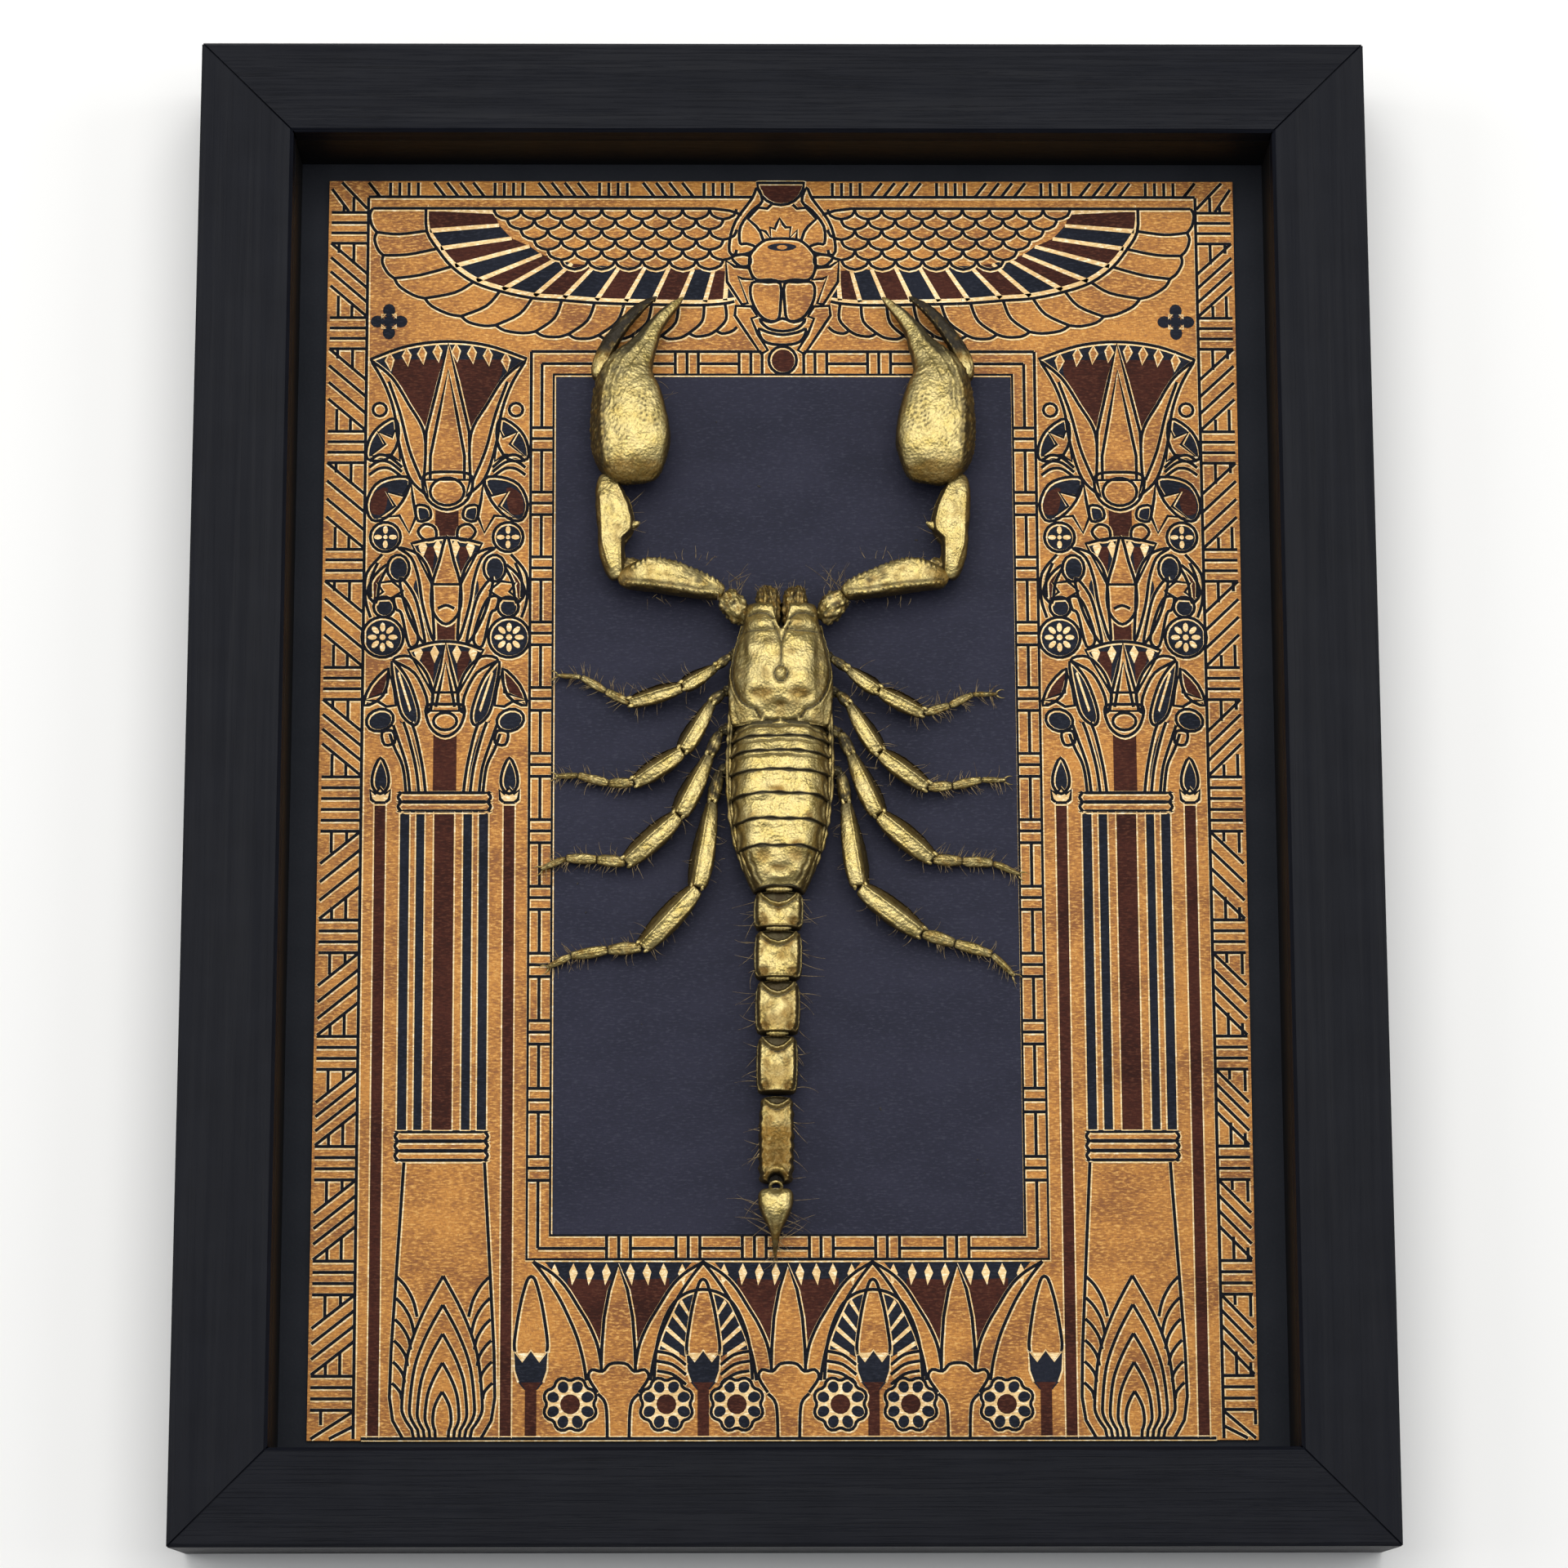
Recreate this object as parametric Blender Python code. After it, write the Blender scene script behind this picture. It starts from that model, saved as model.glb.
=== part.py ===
"""A gold scorpion fixed over an ornamental print in a deep black box frame.

The frame lies on its back: +Z is the way the picture faces and +Y is the picture's top. The origin is the
middle of the frame's back. Lengths are given in millimetres and turned into metres as each mesh is made.
"""

import math

import bmesh
import bpy
from mathutils import Matrix, Vector

# Driving dimensions, in millimetres.
FRAME_WIDTH = 209.0
FRAME_HEIGHT = 267.5
FRAME_DEPTH = 27.0
RAIL_WIDTH = 16.75
LIP_THICKNESS = 4.7
RABBET_WIDTH = 5.0
ARRIS = 0.6  # the small bevel along the rails' front edges
GAP = 0.3  # between pieces that touch
MITRE_GAP = 0.2

PRINT_DEPTH = 17.8  # from the frame's front face down to the print
PRINT_WIDTH = 165.0
PRINT_HEIGHT = 228.4
PRINT_OFFSET = (-0.2, -0.6)
PRINT_THICKNESS = 0.4
CARD_THICKNESS = 1.6
BOARD_THICKNESS = 3.0

TAB_SIZE = (12.0, 8.0, 0.5)
HANGER_LENGTH = 44.0
HANGER_WIDTH = 8.0
HANGER_THICKNESS = 0.8
HANGER_TEETH = 14
HANGER_Y = 96.0

PRINT_TOP = FRAME_DEPTH - PRINT_DEPTH
BODY_AXIS_X = -0.45  # the scorpion's middle line, where its body is widest
BODY_AXIS_Y = 20.0
BODY_LEAN = 0.0105  # how far the middle line drifts left for each millimetre towards the tail

MATERIALS = {
    "black_rail": ((0.018, 0.02, 0.023), 0.45, 0.0),
    "black_spacer": ((0.012, 0.011, 0.010), 0.6, 0.0),
    "navy_card": ((0.03, 0.034, 0.05), 0.9, 0.0),
    "gold_print": ((0.5, 0.27, 0.09), 0.5, 0.3),
    "fibre_board": ((0.23, 0.13, 0.07), 0.85, 0.0),
    "steel": ((0.55, 0.55, 0.56), 0.35, 1.0),
    "gold_paint": ((0.62, 0.5, 0.24), 0.38, 0.9),
}


def clear_scene():
    for obj in list(bpy.data.objects):
        bpy.data.objects.remove(obj, do_unlink=True)


def make_material(name):
    colour, roughness, metallic = MATERIALS[name]
    material = bpy.data.materials.new(name)
    material.use_nodes = True
    shader = material.node_tree.nodes["Principled BSDF"]
    shader.inputs["Base Color"].default_value = (*colour, 1.0)
    shader.inputs["Roughness"].default_value = roughness
    shader.inputs["Metallic"].default_value = metallic
    material.diffuse_color = (*colour, 1.0)
    return material


def add_object(name, bm, material, smooth=False):
    """Turn a mesh drawn in millimetres into a named object in metres."""
    bmesh.ops.scale(bm, vec=(0.001, 0.001, 0.001), verts=bm.verts)
    bmesh.ops.recalc_face_normals(bm, faces=bm.faces)
    mesh = bpy.data.meshes.new(name)
    bm.to_mesh(mesh)
    bm.free()
    if smooth:
        mesh.shade_smooth()
        mesh.set_sharp_from_angle(angle=math.radians(50))
    mesh.materials.append(material)
    obj = bpy.data.objects.new(name, mesh)
    bpy.context.scene.collection.objects.link(obj)
    return obj


def bridge_rings(bm, rings):
    """Join rings of points into one closed skin with a flat cap at each end."""
    loops = [[bm.verts.new(point) for point in ring] for ring in rings]
    for ring, following in zip(loops, loops[1:]):
        count = len(ring)
        for i in range(count):
            j = (i + 1) % count
            bm.faces.new((ring[i], ring[j], following[j], following[i]))
    bm.faces.new(loops[0][::-1])
    bm.faces.new(loops[-1])


def add_box(name, low, high, material):
    bm = bmesh.new()
    bmesh.ops.create_cube(bm, size=1.0)
    low, high = Vector(low), Vector(high)
    for vert in bm.verts:
        vert.co = Vector(l + (h - l) * (c + 0.5) for l, h, c in zip(low, high, vert.co))
    return add_object(name, bm, material)


# Frame


def rail_profile():
    """(distance in from the outer edge, height) round the rail's cross-section."""
    back = RAIL_WIDTH - RABBET_WIDTH
    ledge = FRAME_DEPTH - LIP_THICKNESS
    return [
        (0.0, 0.0),
        (back, 0.0),
        (back, ledge),
        (RAIL_WIDTH, ledge),
        (RAIL_WIDTH, FRAME_DEPTH - ARRIS),
        (RAIL_WIDTH - ARRIS, FRAME_DEPTH),
        (ARRIS, FRAME_DEPTH),
        (0.0, FRAME_DEPTH - ARRIS),
    ]


def add_rail(name, length, distance, turn, material):
    """One mitred rail, drawn along X at -Y and then turned about Z to its side of the frame."""
    rings = []
    for side in (-1, 1):
        ring = []
        for inward, height in rail_profile():
            reach = length / 2 - inward - MITRE_GAP
            ring.append(Vector((side * reach, inward - distance, height)))
        rings.append(ring)
    bm = bmesh.new()
    bridge_rings(bm, rings)
    bmesh.ops.rotate(bm, verts=bm.verts, cent=(0, 0, 0), matrix=Matrix.Rotation(turn, 3, "Z"))
    return add_object(name, bm, material)


def build_rails(material):
    half_width, half_height = FRAME_WIDTH / 2, FRAME_HEIGHT / 2
    add_rail("rail_bottom", FRAME_WIDTH, half_height, 0.0, material)
    add_rail("rail_top", FRAME_WIDTH, half_height, math.pi, material)
    add_rail("rail_right", FRAME_HEIGHT, half_width, math.pi / 2, material)
    add_rail("rail_left", FRAME_HEIGHT, half_width, -math.pi / 2, material)


def build_spacers(material):
    """Strips flush with the lip's inner edge, butted at the corners."""
    low = PRINT_TOP - PRINT_THICKNESS
    high = FRAME_DEPTH - LIP_THICKNESS - GAP
    wall_x = FRAME_WIDTH / 2 - RAIL_WIDTH + RABBET_WIDTH - GAP
    wall_y = FRAME_HEIGHT / 2 - RAIL_WIDTH + RABBET_WIDTH - GAP
    sight_x = FRAME_WIDTH / 2 - RAIL_WIDTH
    sight_y = FRAME_HEIGHT / 2 - RAIL_WIDTH
    for name, side in (("spacer_bottom", -1), ("spacer_top", 1)):
        near, far = sorted((side * sight_y, side * wall_y))
        add_box(name, (-wall_x, near, low), (wall_x, far, high), material)
    for name, side in (("spacer_left", -1), ("spacer_right", 1)):
        near, far = sorted((side * sight_x, side * wall_x))
        add_box(name, (near, -sight_y + GAP, low), (far, sight_y - GAP, high), material)


def build_boards(card, printed, board):
    reach_x = FRAME_WIDTH / 2 - RAIL_WIDTH + RABBET_WIDTH - GAP
    reach_y = FRAME_HEIGHT / 2 - RAIL_WIDTH + RABBET_WIDTH - GAP
    print_low = PRINT_TOP - PRINT_THICKNESS
    card_high = print_low - GAP
    card_low = card_high - CARD_THICKNESS
    board_high = card_low - GAP
    board_low = board_high - BOARD_THICKNESS
    x, y = PRINT_OFFSET
    half_w, half_h = PRINT_WIDTH / 2, PRINT_HEIGHT / 2
    add_box("print_panel", (x - half_w, y - half_h, print_low), (x + half_w, y + half_h, PRINT_TOP), printed)
    add_box("mount_card", (-reach_x, -reach_y, card_low), (reach_x, reach_y, card_high), card)
    add_box("backing_board", (-reach_x, -reach_y, board_low), (reach_x, reach_y, board_high), board)
    return board_low


def build_tabs(board_low, material):
    """Flat steel points that stand out of the rabbet's wall and hold the board in."""
    length, width, thickness = TAB_SIZE
    high = board_low - GAP
    wall_x = FRAME_WIDTH / 2 - RAIL_WIDTH + RABBET_WIDTH - GAP
    wall_y = FRAME_HEIGHT / 2 - RAIL_WIDTH + RABBET_WIDTH - GAP
    number = 0
    for side in (-1, 1):
        for y in (-FRAME_HEIGHT / 4, FRAME_HEIGHT / 4):
            number += 1
            near, far = sorted((side * wall_x, side * (wall_x - length)))
            low = (near, y - width / 2, high - thickness)
            add_box(f"retaining_tab_{number}", low, (far, y + width / 2, high), material)
    for side in (-1, 1):
        number += 1
        near, far = sorted((side * wall_y, side * (wall_y - length)))
        low = (-width / 2, near, high - thickness)
        add_box(f"retaining_tab_{number}", low, (width / 2, far, high), material)


def build_hanger(board_low, material):
    """A sawtooth strip, its teeth along the lower edge of a long window's upper side."""
    high = board_low - GAP
    low = high - HANGER_THICKNESS
    half = HANGER_LENGTH / 2
    pitch = (HANGER_LENGTH - HANGER_WIDTH) / HANGER_TEETH
    outline = [(-half, HANGER_Y + HANGER_WIDTH / 2), (-half, HANGER_Y - HANGER_WIDTH / 2)]
    x = -half + HANGER_WIDTH / 2
    for _ in range(HANGER_TEETH):
        outline.append((x, HANGER_Y - HANGER_WIDTH / 2))
        outline.append((x + pitch / 2, HANGER_Y - HANGER_WIDTH / 2 + pitch / 2))
        x += pitch
    outline += [(x, HANGER_Y - HANGER_WIDTH / 2), (half, HANGER_Y - HANGER_WIDTH / 2)]
    outline.append((half, HANGER_Y + HANGER_WIDTH / 2))
    bm = bmesh.new()
    bridge_rings(bm, [[Vector((px, py, z)) for px, py in outline] for z in (low, high)])
    add_object("sawtooth_hanger", bm, material)


# Scorpion


def axis_x(y):
    """Where the body's middle line crosses this height of the picture."""
    return BODY_AXIS_X - (BODY_AXIS_Y - y) * BODY_LEAN


def body_ring(y, half_width, low, high, sides=16, squareness=2.5):
    """A rounded box section across the body; low and high are heights above the print."""
    middle = PRINT_TOP + (low + high) / 2
    half_height = (high - low) / 2
    ring = []
    for i in range(sides):
        angle = 2 * math.pi * (i + 0.5) / sides
        c, s = math.cos(angle), math.sin(angle)
        across = math.copysign(abs(c) ** (2 / squareness), c)
        up = math.copysign(abs(s) ** (2 / squareness), s)
        ring.append(Vector((axis_x(y) + half_width * across, y, middle + half_height * up)))
    return ring


def add_trunk(name, stations, material, sides=16):
    bm = bmesh.new()
    bridge_rings(bm, [body_ring(*station, sides=sides) for station in stations])
    return add_object(name, bm, material, smooth=True)


def limb_rings(stations, sides):
    """Oval rings along a limb. A station is (x, y, height above the print, width, thickness)."""
    points = [Vector((x, y, PRINT_TOP + z)) for x, y, z, _, _ in stations]
    rings = []
    for i, (*_, width, thickness) in enumerate(stations):
        before = points[max(i - 1, 0)]
        after = points[min(i + 1, len(points) - 1)]
        along = (after - before).normalized()
        side = along.cross(Vector((0, 0, 1))).normalized()
        up = side.cross(along)
        ring = []
        for k in range(sides):
            angle = 2 * math.pi * k / sides
            out = side * (math.cos(angle) * width / 2) + up * (math.sin(angle) * thickness / 2)
            ring.append(points[i] + out)
        rings.append(ring)
    return rings


def add_limb(name, stations, material, mirrored=False, sides=10):
    bm = bmesh.new()
    if mirrored:
        stations = [(-x, *rest) for x, *rest in stations]
    bridge_rings(bm, limb_rings(stations, sides))
    return add_object(name, bm, material, smooth=True)


# (place along Y, half width, underside and top above the print)
CARAPACE = [
    (32.6, 5.6, 2.4, 7.2),
    (31.0, 6.6, 1.6, 8.6),
    (28.0, 7.0, 1.0, 9.2),
    (24.0, 8.2, 0.7, 9.8),
    (19.0, 9.0, 0.5, 10.2),
    (15.0, 9.1, 0.5, 10.2),
    (12.0, 8.6, 0.6, 9.8),
    (10.6, 8.0, 0.8, 9.4),
]
MESOSOMA = [
    (10.3, 8.4, 0.7, 9.6),
    (8.0, 9.1, 0.5, 10.0),
    (5.0, 9.3, 0.4, 10.3),
    (0.0, 9.2, 0.4, 10.5),
    (-5.0, 8.7, 0.4, 10.3),
    (-9.0, 8.1, 0.4, 9.9),
    (-12.5, 7.2, 0.5, 9.4),
    (-16.0, 5.4, 0.6, 8.6),
    (-18.9, 3.7, 0.9, 7.8),
]
TAIL = [
    (-19.3, 3.6, 1.2, 7.6),
    (-21.5, 4.7, 0.5, 8.2),
    (-24.5, 4.6, 0.4, 8.2),
    (-26.0, 3.4, 1.0, 7.4),
    (-28.5, 4.3, 0.4, 8.0),
    (-33.0, 4.3, 0.4, 8.0),
    (-35.2, 3.2, 1.0, 7.2),
    (-37.5, 4.0, 0.4, 7.8),
    (-42.5, 4.0, 0.4, 7.8),
    (-44.8, 2.9, 1.0, 6.9),
    (-47.5, 3.7, 0.4, 7.5),
    (-52.5, 3.6, 0.4, 7.3),
    (-55.2, 2.6, 1.0, 6.5),
    (-58.5, 3.1, 0.4, 7.0),
    (-67.0, 2.9, 0.4, 6.6),
    (-70.6, 2.4, 0.8, 5.8),
]
TELSON = [
    (-71.2, 1.2, 1.6, 4.6),
    (-72.8, 2.5, 0.7, 6.0),
    (-74.5, 2.9, 0.4, 6.4),
    (-76.6, 2.2, 0.5, 5.8),
    (-78.4, 1.0, 1.2, 4.6),
    (-81.0, 0.6, 1.9, 3.6),
    (-83.8, 0.15, 1.8, 2.1),
]
# Limbs of the right side, as (x, y, height above the print, width, thickness); the left ones are mirrored.
CHELICERA = [
    (2.6, 33.0, 4.8, 3.0, 3.6),
    (2.4, 34.2, 4.6, 3.6, 4.0),
    (2.0, 35.4, 4.2, 3.0, 3.4),
    (1.6, 36.4, 3.8, 1.4, 1.8),
]
PALP_FEMUR = [
    (7.6, 31.0, 4.0, 2.6, 3.0),
    (9.0, 33.2, 4.6, 3.6, 4.4),
    (10.6, 34.9, 4.8, 2.8, 3.8),
    (13.0, 36.0, 5.2, 3.8, 5.0),
    (17.0, 37.0, 5.5, 5.2, 5.6),
    (21.0, 37.9, 5.5, 5.8, 6.0),
    (24.5, 37.6, 5.3, 4.2, 5.6),
    (26.9, 37.2, 5.0, 2.4, 4.0),
]
PALP_PATELLA = [
    (28.5, 38.2, 4.6, 2.6, 3.6),
    (28.9, 40.6, 4.8, 4.4, 5.4),
    (30.0, 44.0, 5.0, 4.6, 6.0),
    (29.7, 47.6, 5.0, 6.6, 6.4),
    (30.0, 51.0, 5.0, 6.0, 6.4),
    (30.8, 54.4, 4.8, 4.6, 5.6),
    (31.6, 56.0, 4.6, 2.4, 3.6),
]
CHELA = [
    (28.4, 56.5, 4.6, 7.0, 4.4),
    (27.9, 58.6, 5.4, 12.4, 8.8),
    (27.8, 62.0, 5.9, 14.0, 10.6),
    (28.0, 66.0, 5.9, 13.8, 10.8),
    (28.5, 70.5, 5.6, 12.2, 10.0),
    (28.8, 74.4, 5.1, 10.0, 8.4),
    (27.7, 77.6, 4.7, 6.6, 6.4),
    (26.9, 81.0, 4.3, 3.8, 4.8),
    (25.4, 84.8, 3.9, 2.6, 3.6),
    (22.9, 88.2, 3.4, 1.8, 2.4),
    (19.6, 91.0, 3.0, 0.6, 0.8),
]
FINGER = [
    (33.8, 77.2, 3.9, 2.0, 3.4),
    (32.8, 79.8, 3.9, 3.2, 4.4),
    (30.8, 83.2, 3.7, 2.9, 3.8),
    (28.2, 86.8, 3.4, 2.4, 3.2),
    (26.0, 89.8, 3.1, 1.6, 2.2),
    (24.0, 92.0, 2.8, 0.5, 0.8),
]


def straight_run(start, end, widths, thickness_share=0.8):
    """Stations from one joint of a leg to the next, as wide as the list says."""
    stations = []
    for i, width in enumerate(widths):
        share = i / (len(widths) - 1)
        x, y, z = (a + (b - a) * share for a, b in zip(start, end))
        stations.append((x, y, z, width, width * thickness_share))
    return stations


# Each leg's joints from the body out to the foot, as (x, y, height above the print), and its widths there.
LEG_JOINTS = {
    "leg_right_1": [(8.6, 23.2, 4.4), (11.4, 21.2, 4.6), (17.2, 17.4, 4.8), (25.0, 13.6, 3.2),
                    (29.6, 15.0, 2.2), (33.8, 17.0, 1.8), (38.3, 17.5, 1.2)],
    "leg_right_2": [(9.7, 17.0, 3.8), (11.7, 14.8, 4.2), (17.4, 6.0, 4.4), (25.5, 0.1, 3.0),
                    (30.0, 0.4, 2.1), (35.2, 1.7, 1.7), (39.6, 1.6, 1.1)],
    "leg_right_3": [(10.2, 9.8, 3.2), (12.0, 5.8, 3.8), (17.2, -5.0, 4.3), (26.4, -13.0, 3.0),
                    (31.6, -13.1, 2.1), (37.1, -13.5, 1.7), (42.0, -15.4, 1.1)],
    "leg_right_4": [(10.2, 2.8, 2.6), (11.1, -2.9, 3.4), (13.7, -18.2, 4.3), (24.4, -26.5, 3.0),
                    (30.2, -27.9, 2.1), (36.8, -29.8, 1.7), (40.6, -33.6, 1.1)],
    "leg_left_1": [(-9.4, 23.6, 4.4), (-12.0, 21.5, 4.6), (-18.0, 17.9, 4.8), (-27.4, 15.3, 3.2),
                   (-31.6, 17.6, 2.2), (-36.0, 20.3, 1.8), (-40.6, 20.8, 1.2)],
    "leg_left_2": [(-10.6, 17.2, 3.8), (-12.7, 15.2, 4.2), (-17.9, 6.3, 4.4), (-26.5, 0.8, 3.0),
                   (-31.0, 0.9, 2.1), (-36.5, 2.4, 1.7), (-40.6, 2.4, 1.1)],
    "leg_left_3": [(-11.3, 10.0, 3.2), (-13.1, 5.6, 3.8), (-18.6, -5.3, 4.3), (-27.9, -13.6, 3.0),
                   (-33.0, -12.9, 2.1), (-38.5, -12.6, 1.7), (-43.0, -14.4, 1.1)],
    "leg_left_4": [(-11.4, 3.0, 2.6), (-12.6, -2.7, 3.4), (-15.3, -18.4, 4.3), (-25.0, -28.8, 3.0),
                   (-31.0, -29.1, 2.1), (-37.5, -30.1, 1.7), (-41.8, -32.1, 1.1)],
}
LEG_WIDTHS = [
    (2.0, 2.2, 1.6),  # trochanter
    (1.6, 2.6, 3.0, 1.8),  # femur
    (1.8, 3.3, 3.1, 1.6),  # patella
    (1.3, 2.1, 1.7),  # tibia
    (1.5, 2.0, 1.4),  # basitarsus
    (1.0, 0.9, 0.5),  # tarsus
]


def leg_stations(joints):
    """The leg's rings from body to foot; a joint's two rings are merged into the narrower one."""
    stations = []
    for start, end, widths in zip(joints, joints[1:], LEG_WIDTHS):
        run = straight_run(start, end, widths)
        stations += run if not stations else run[1:]
    return stations


def build_scorpion(material):
    add_trunk("scorpion_carapace", CARAPACE, material)
    add_trunk("scorpion_mesosoma", MESOSOMA, material)
    add_trunk("scorpion_tail", TAIL, material, sides=12)
    add_trunk("scorpion_telson", TELSON, material, sides=12)
    for side in ("right", "left"):
        mirrored = side == "left"
        add_limb(f"chelicera_{side}", CHELICERA, material, mirrored)
        add_limb(f"palp_femur_{side}", PALP_FEMUR, material, mirrored)
        add_limb(f"palp_patella_{side}", PALP_PATELLA, material, mirrored)
        add_limb(f"chela_{side}", CHELA, material, mirrored, sides=14)
        add_limb(f"finger_{side}", FINGER, material, mirrored)
    for name, joints in LEG_JOINTS.items():
        add_limb(name, leg_stations(joints), material, sides=8)


def main():
    clear_scene()
    materials = {name: make_material(name) for name in MATERIALS}
    build_rails(materials["black_rail"])
    build_spacers(materials["black_spacer"])
    board_low = build_boards(materials["navy_card"], materials["gold_print"], materials["fibre_board"])
    build_tabs(board_low, materials["steel"])
    build_hanger(board_low, materials["steel"])
    build_scorpion(materials["gold_paint"])


main()
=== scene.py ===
"""A gold scorpion over an ornamental print in a deep black box frame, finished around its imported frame.

The frame lies on its back: +Z is the way the picture faces and +Y is the picture's top. Places are given in
millimetres and turned into metres as each piece is made.
"""

import math

import bpy
import numpy as np
from mathutils import Matrix, Vector, noise


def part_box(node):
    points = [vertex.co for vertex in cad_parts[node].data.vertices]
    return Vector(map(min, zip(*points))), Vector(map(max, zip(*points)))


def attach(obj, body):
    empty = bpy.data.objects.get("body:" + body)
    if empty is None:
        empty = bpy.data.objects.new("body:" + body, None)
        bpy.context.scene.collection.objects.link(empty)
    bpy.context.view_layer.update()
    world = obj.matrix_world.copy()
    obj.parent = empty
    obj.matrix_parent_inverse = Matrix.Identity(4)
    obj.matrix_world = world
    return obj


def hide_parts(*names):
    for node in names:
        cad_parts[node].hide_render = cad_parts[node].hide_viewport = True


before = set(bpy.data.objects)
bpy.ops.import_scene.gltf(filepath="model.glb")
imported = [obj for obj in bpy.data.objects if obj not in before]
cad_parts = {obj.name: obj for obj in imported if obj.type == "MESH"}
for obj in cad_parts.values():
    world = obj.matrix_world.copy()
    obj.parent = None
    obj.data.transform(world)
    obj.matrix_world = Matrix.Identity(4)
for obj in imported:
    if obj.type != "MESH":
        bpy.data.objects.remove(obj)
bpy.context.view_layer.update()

MM = 0.001
UP = Vector((0, 0, 1))
BACKWARD = Vector((0, -1, 0))  # from head to tail
PRINT_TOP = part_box("print_panel")[1].z / MM
CENTRE_X = 0.15  # the print's own middle line


# Camera, floor and light


CAMERA_PLACE = (-0.0060, -0.16707, 0.8391)
CAMERA_AHEAD, CAMERA_RIGHT = (0.00724, 0.19874, -0.98002), (0.99997, -0.00140, 0.00710)
LENS_MM, SENSOR_MM = 109.15, 36.0


def aim_camera():
    data = bpy.data.cameras.new("camera")
    data.lens = LENS_MM
    data.sensor_width = SENSOR_MM
    data.clip_start = 0.01
    camera = bpy.data.objects.new("camera", data)
    bpy.context.scene.collection.objects.link(camera)
    ahead, right = Vector(CAMERA_AHEAD).normalized(), Vector(CAMERA_RIGHT).normalized()
    above = right.cross(ahead)
    turn = Matrix((right, above, -ahead)).transposed().to_4x4()
    camera.matrix_world = Matrix.Translation(CAMERA_PLACE) @ turn
    bpy.context.scene.camera = camera


def add_light(name, place, size, energy, colour=(1, 1, 1)):
    data = bpy.data.lights.new(name, "AREA")
    data.shape = "SQUARE"
    data.size = size
    data.energy = energy
    data.color = colour
    light = bpy.data.objects.new(name, data)
    light.location = place
    light.rotation_euler = (-Vector(place)).to_track_quat("-Z", "Y").to_euler()
    bpy.context.scene.collection.objects.link(light)


def light_studio():
    add_light("overhead", (0.0, 0.35, 1.15), 1.1, 13.0, (1.0, 0.985, 0.95))
    add_light("left_fill", (-1.1, 0.1, 0.9), 0.7, 3.6)
    add_light("right_fill", (1.1, 0.1, 0.9), 0.7, 3.6)
    world = bpy.data.worlds.new("studio")
    world.use_nodes = True
    background = world.node_tree.nodes["Background"]
    background.inputs["Color"].default_value = (0.93, 0.96, 1.0, 1.0)
    background.inputs["Strength"].default_value = 0.22
    bpy.context.scene.world = world
    bpy.context.scene.view_settings.view_transform = "Standard"


# Finishes


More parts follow.
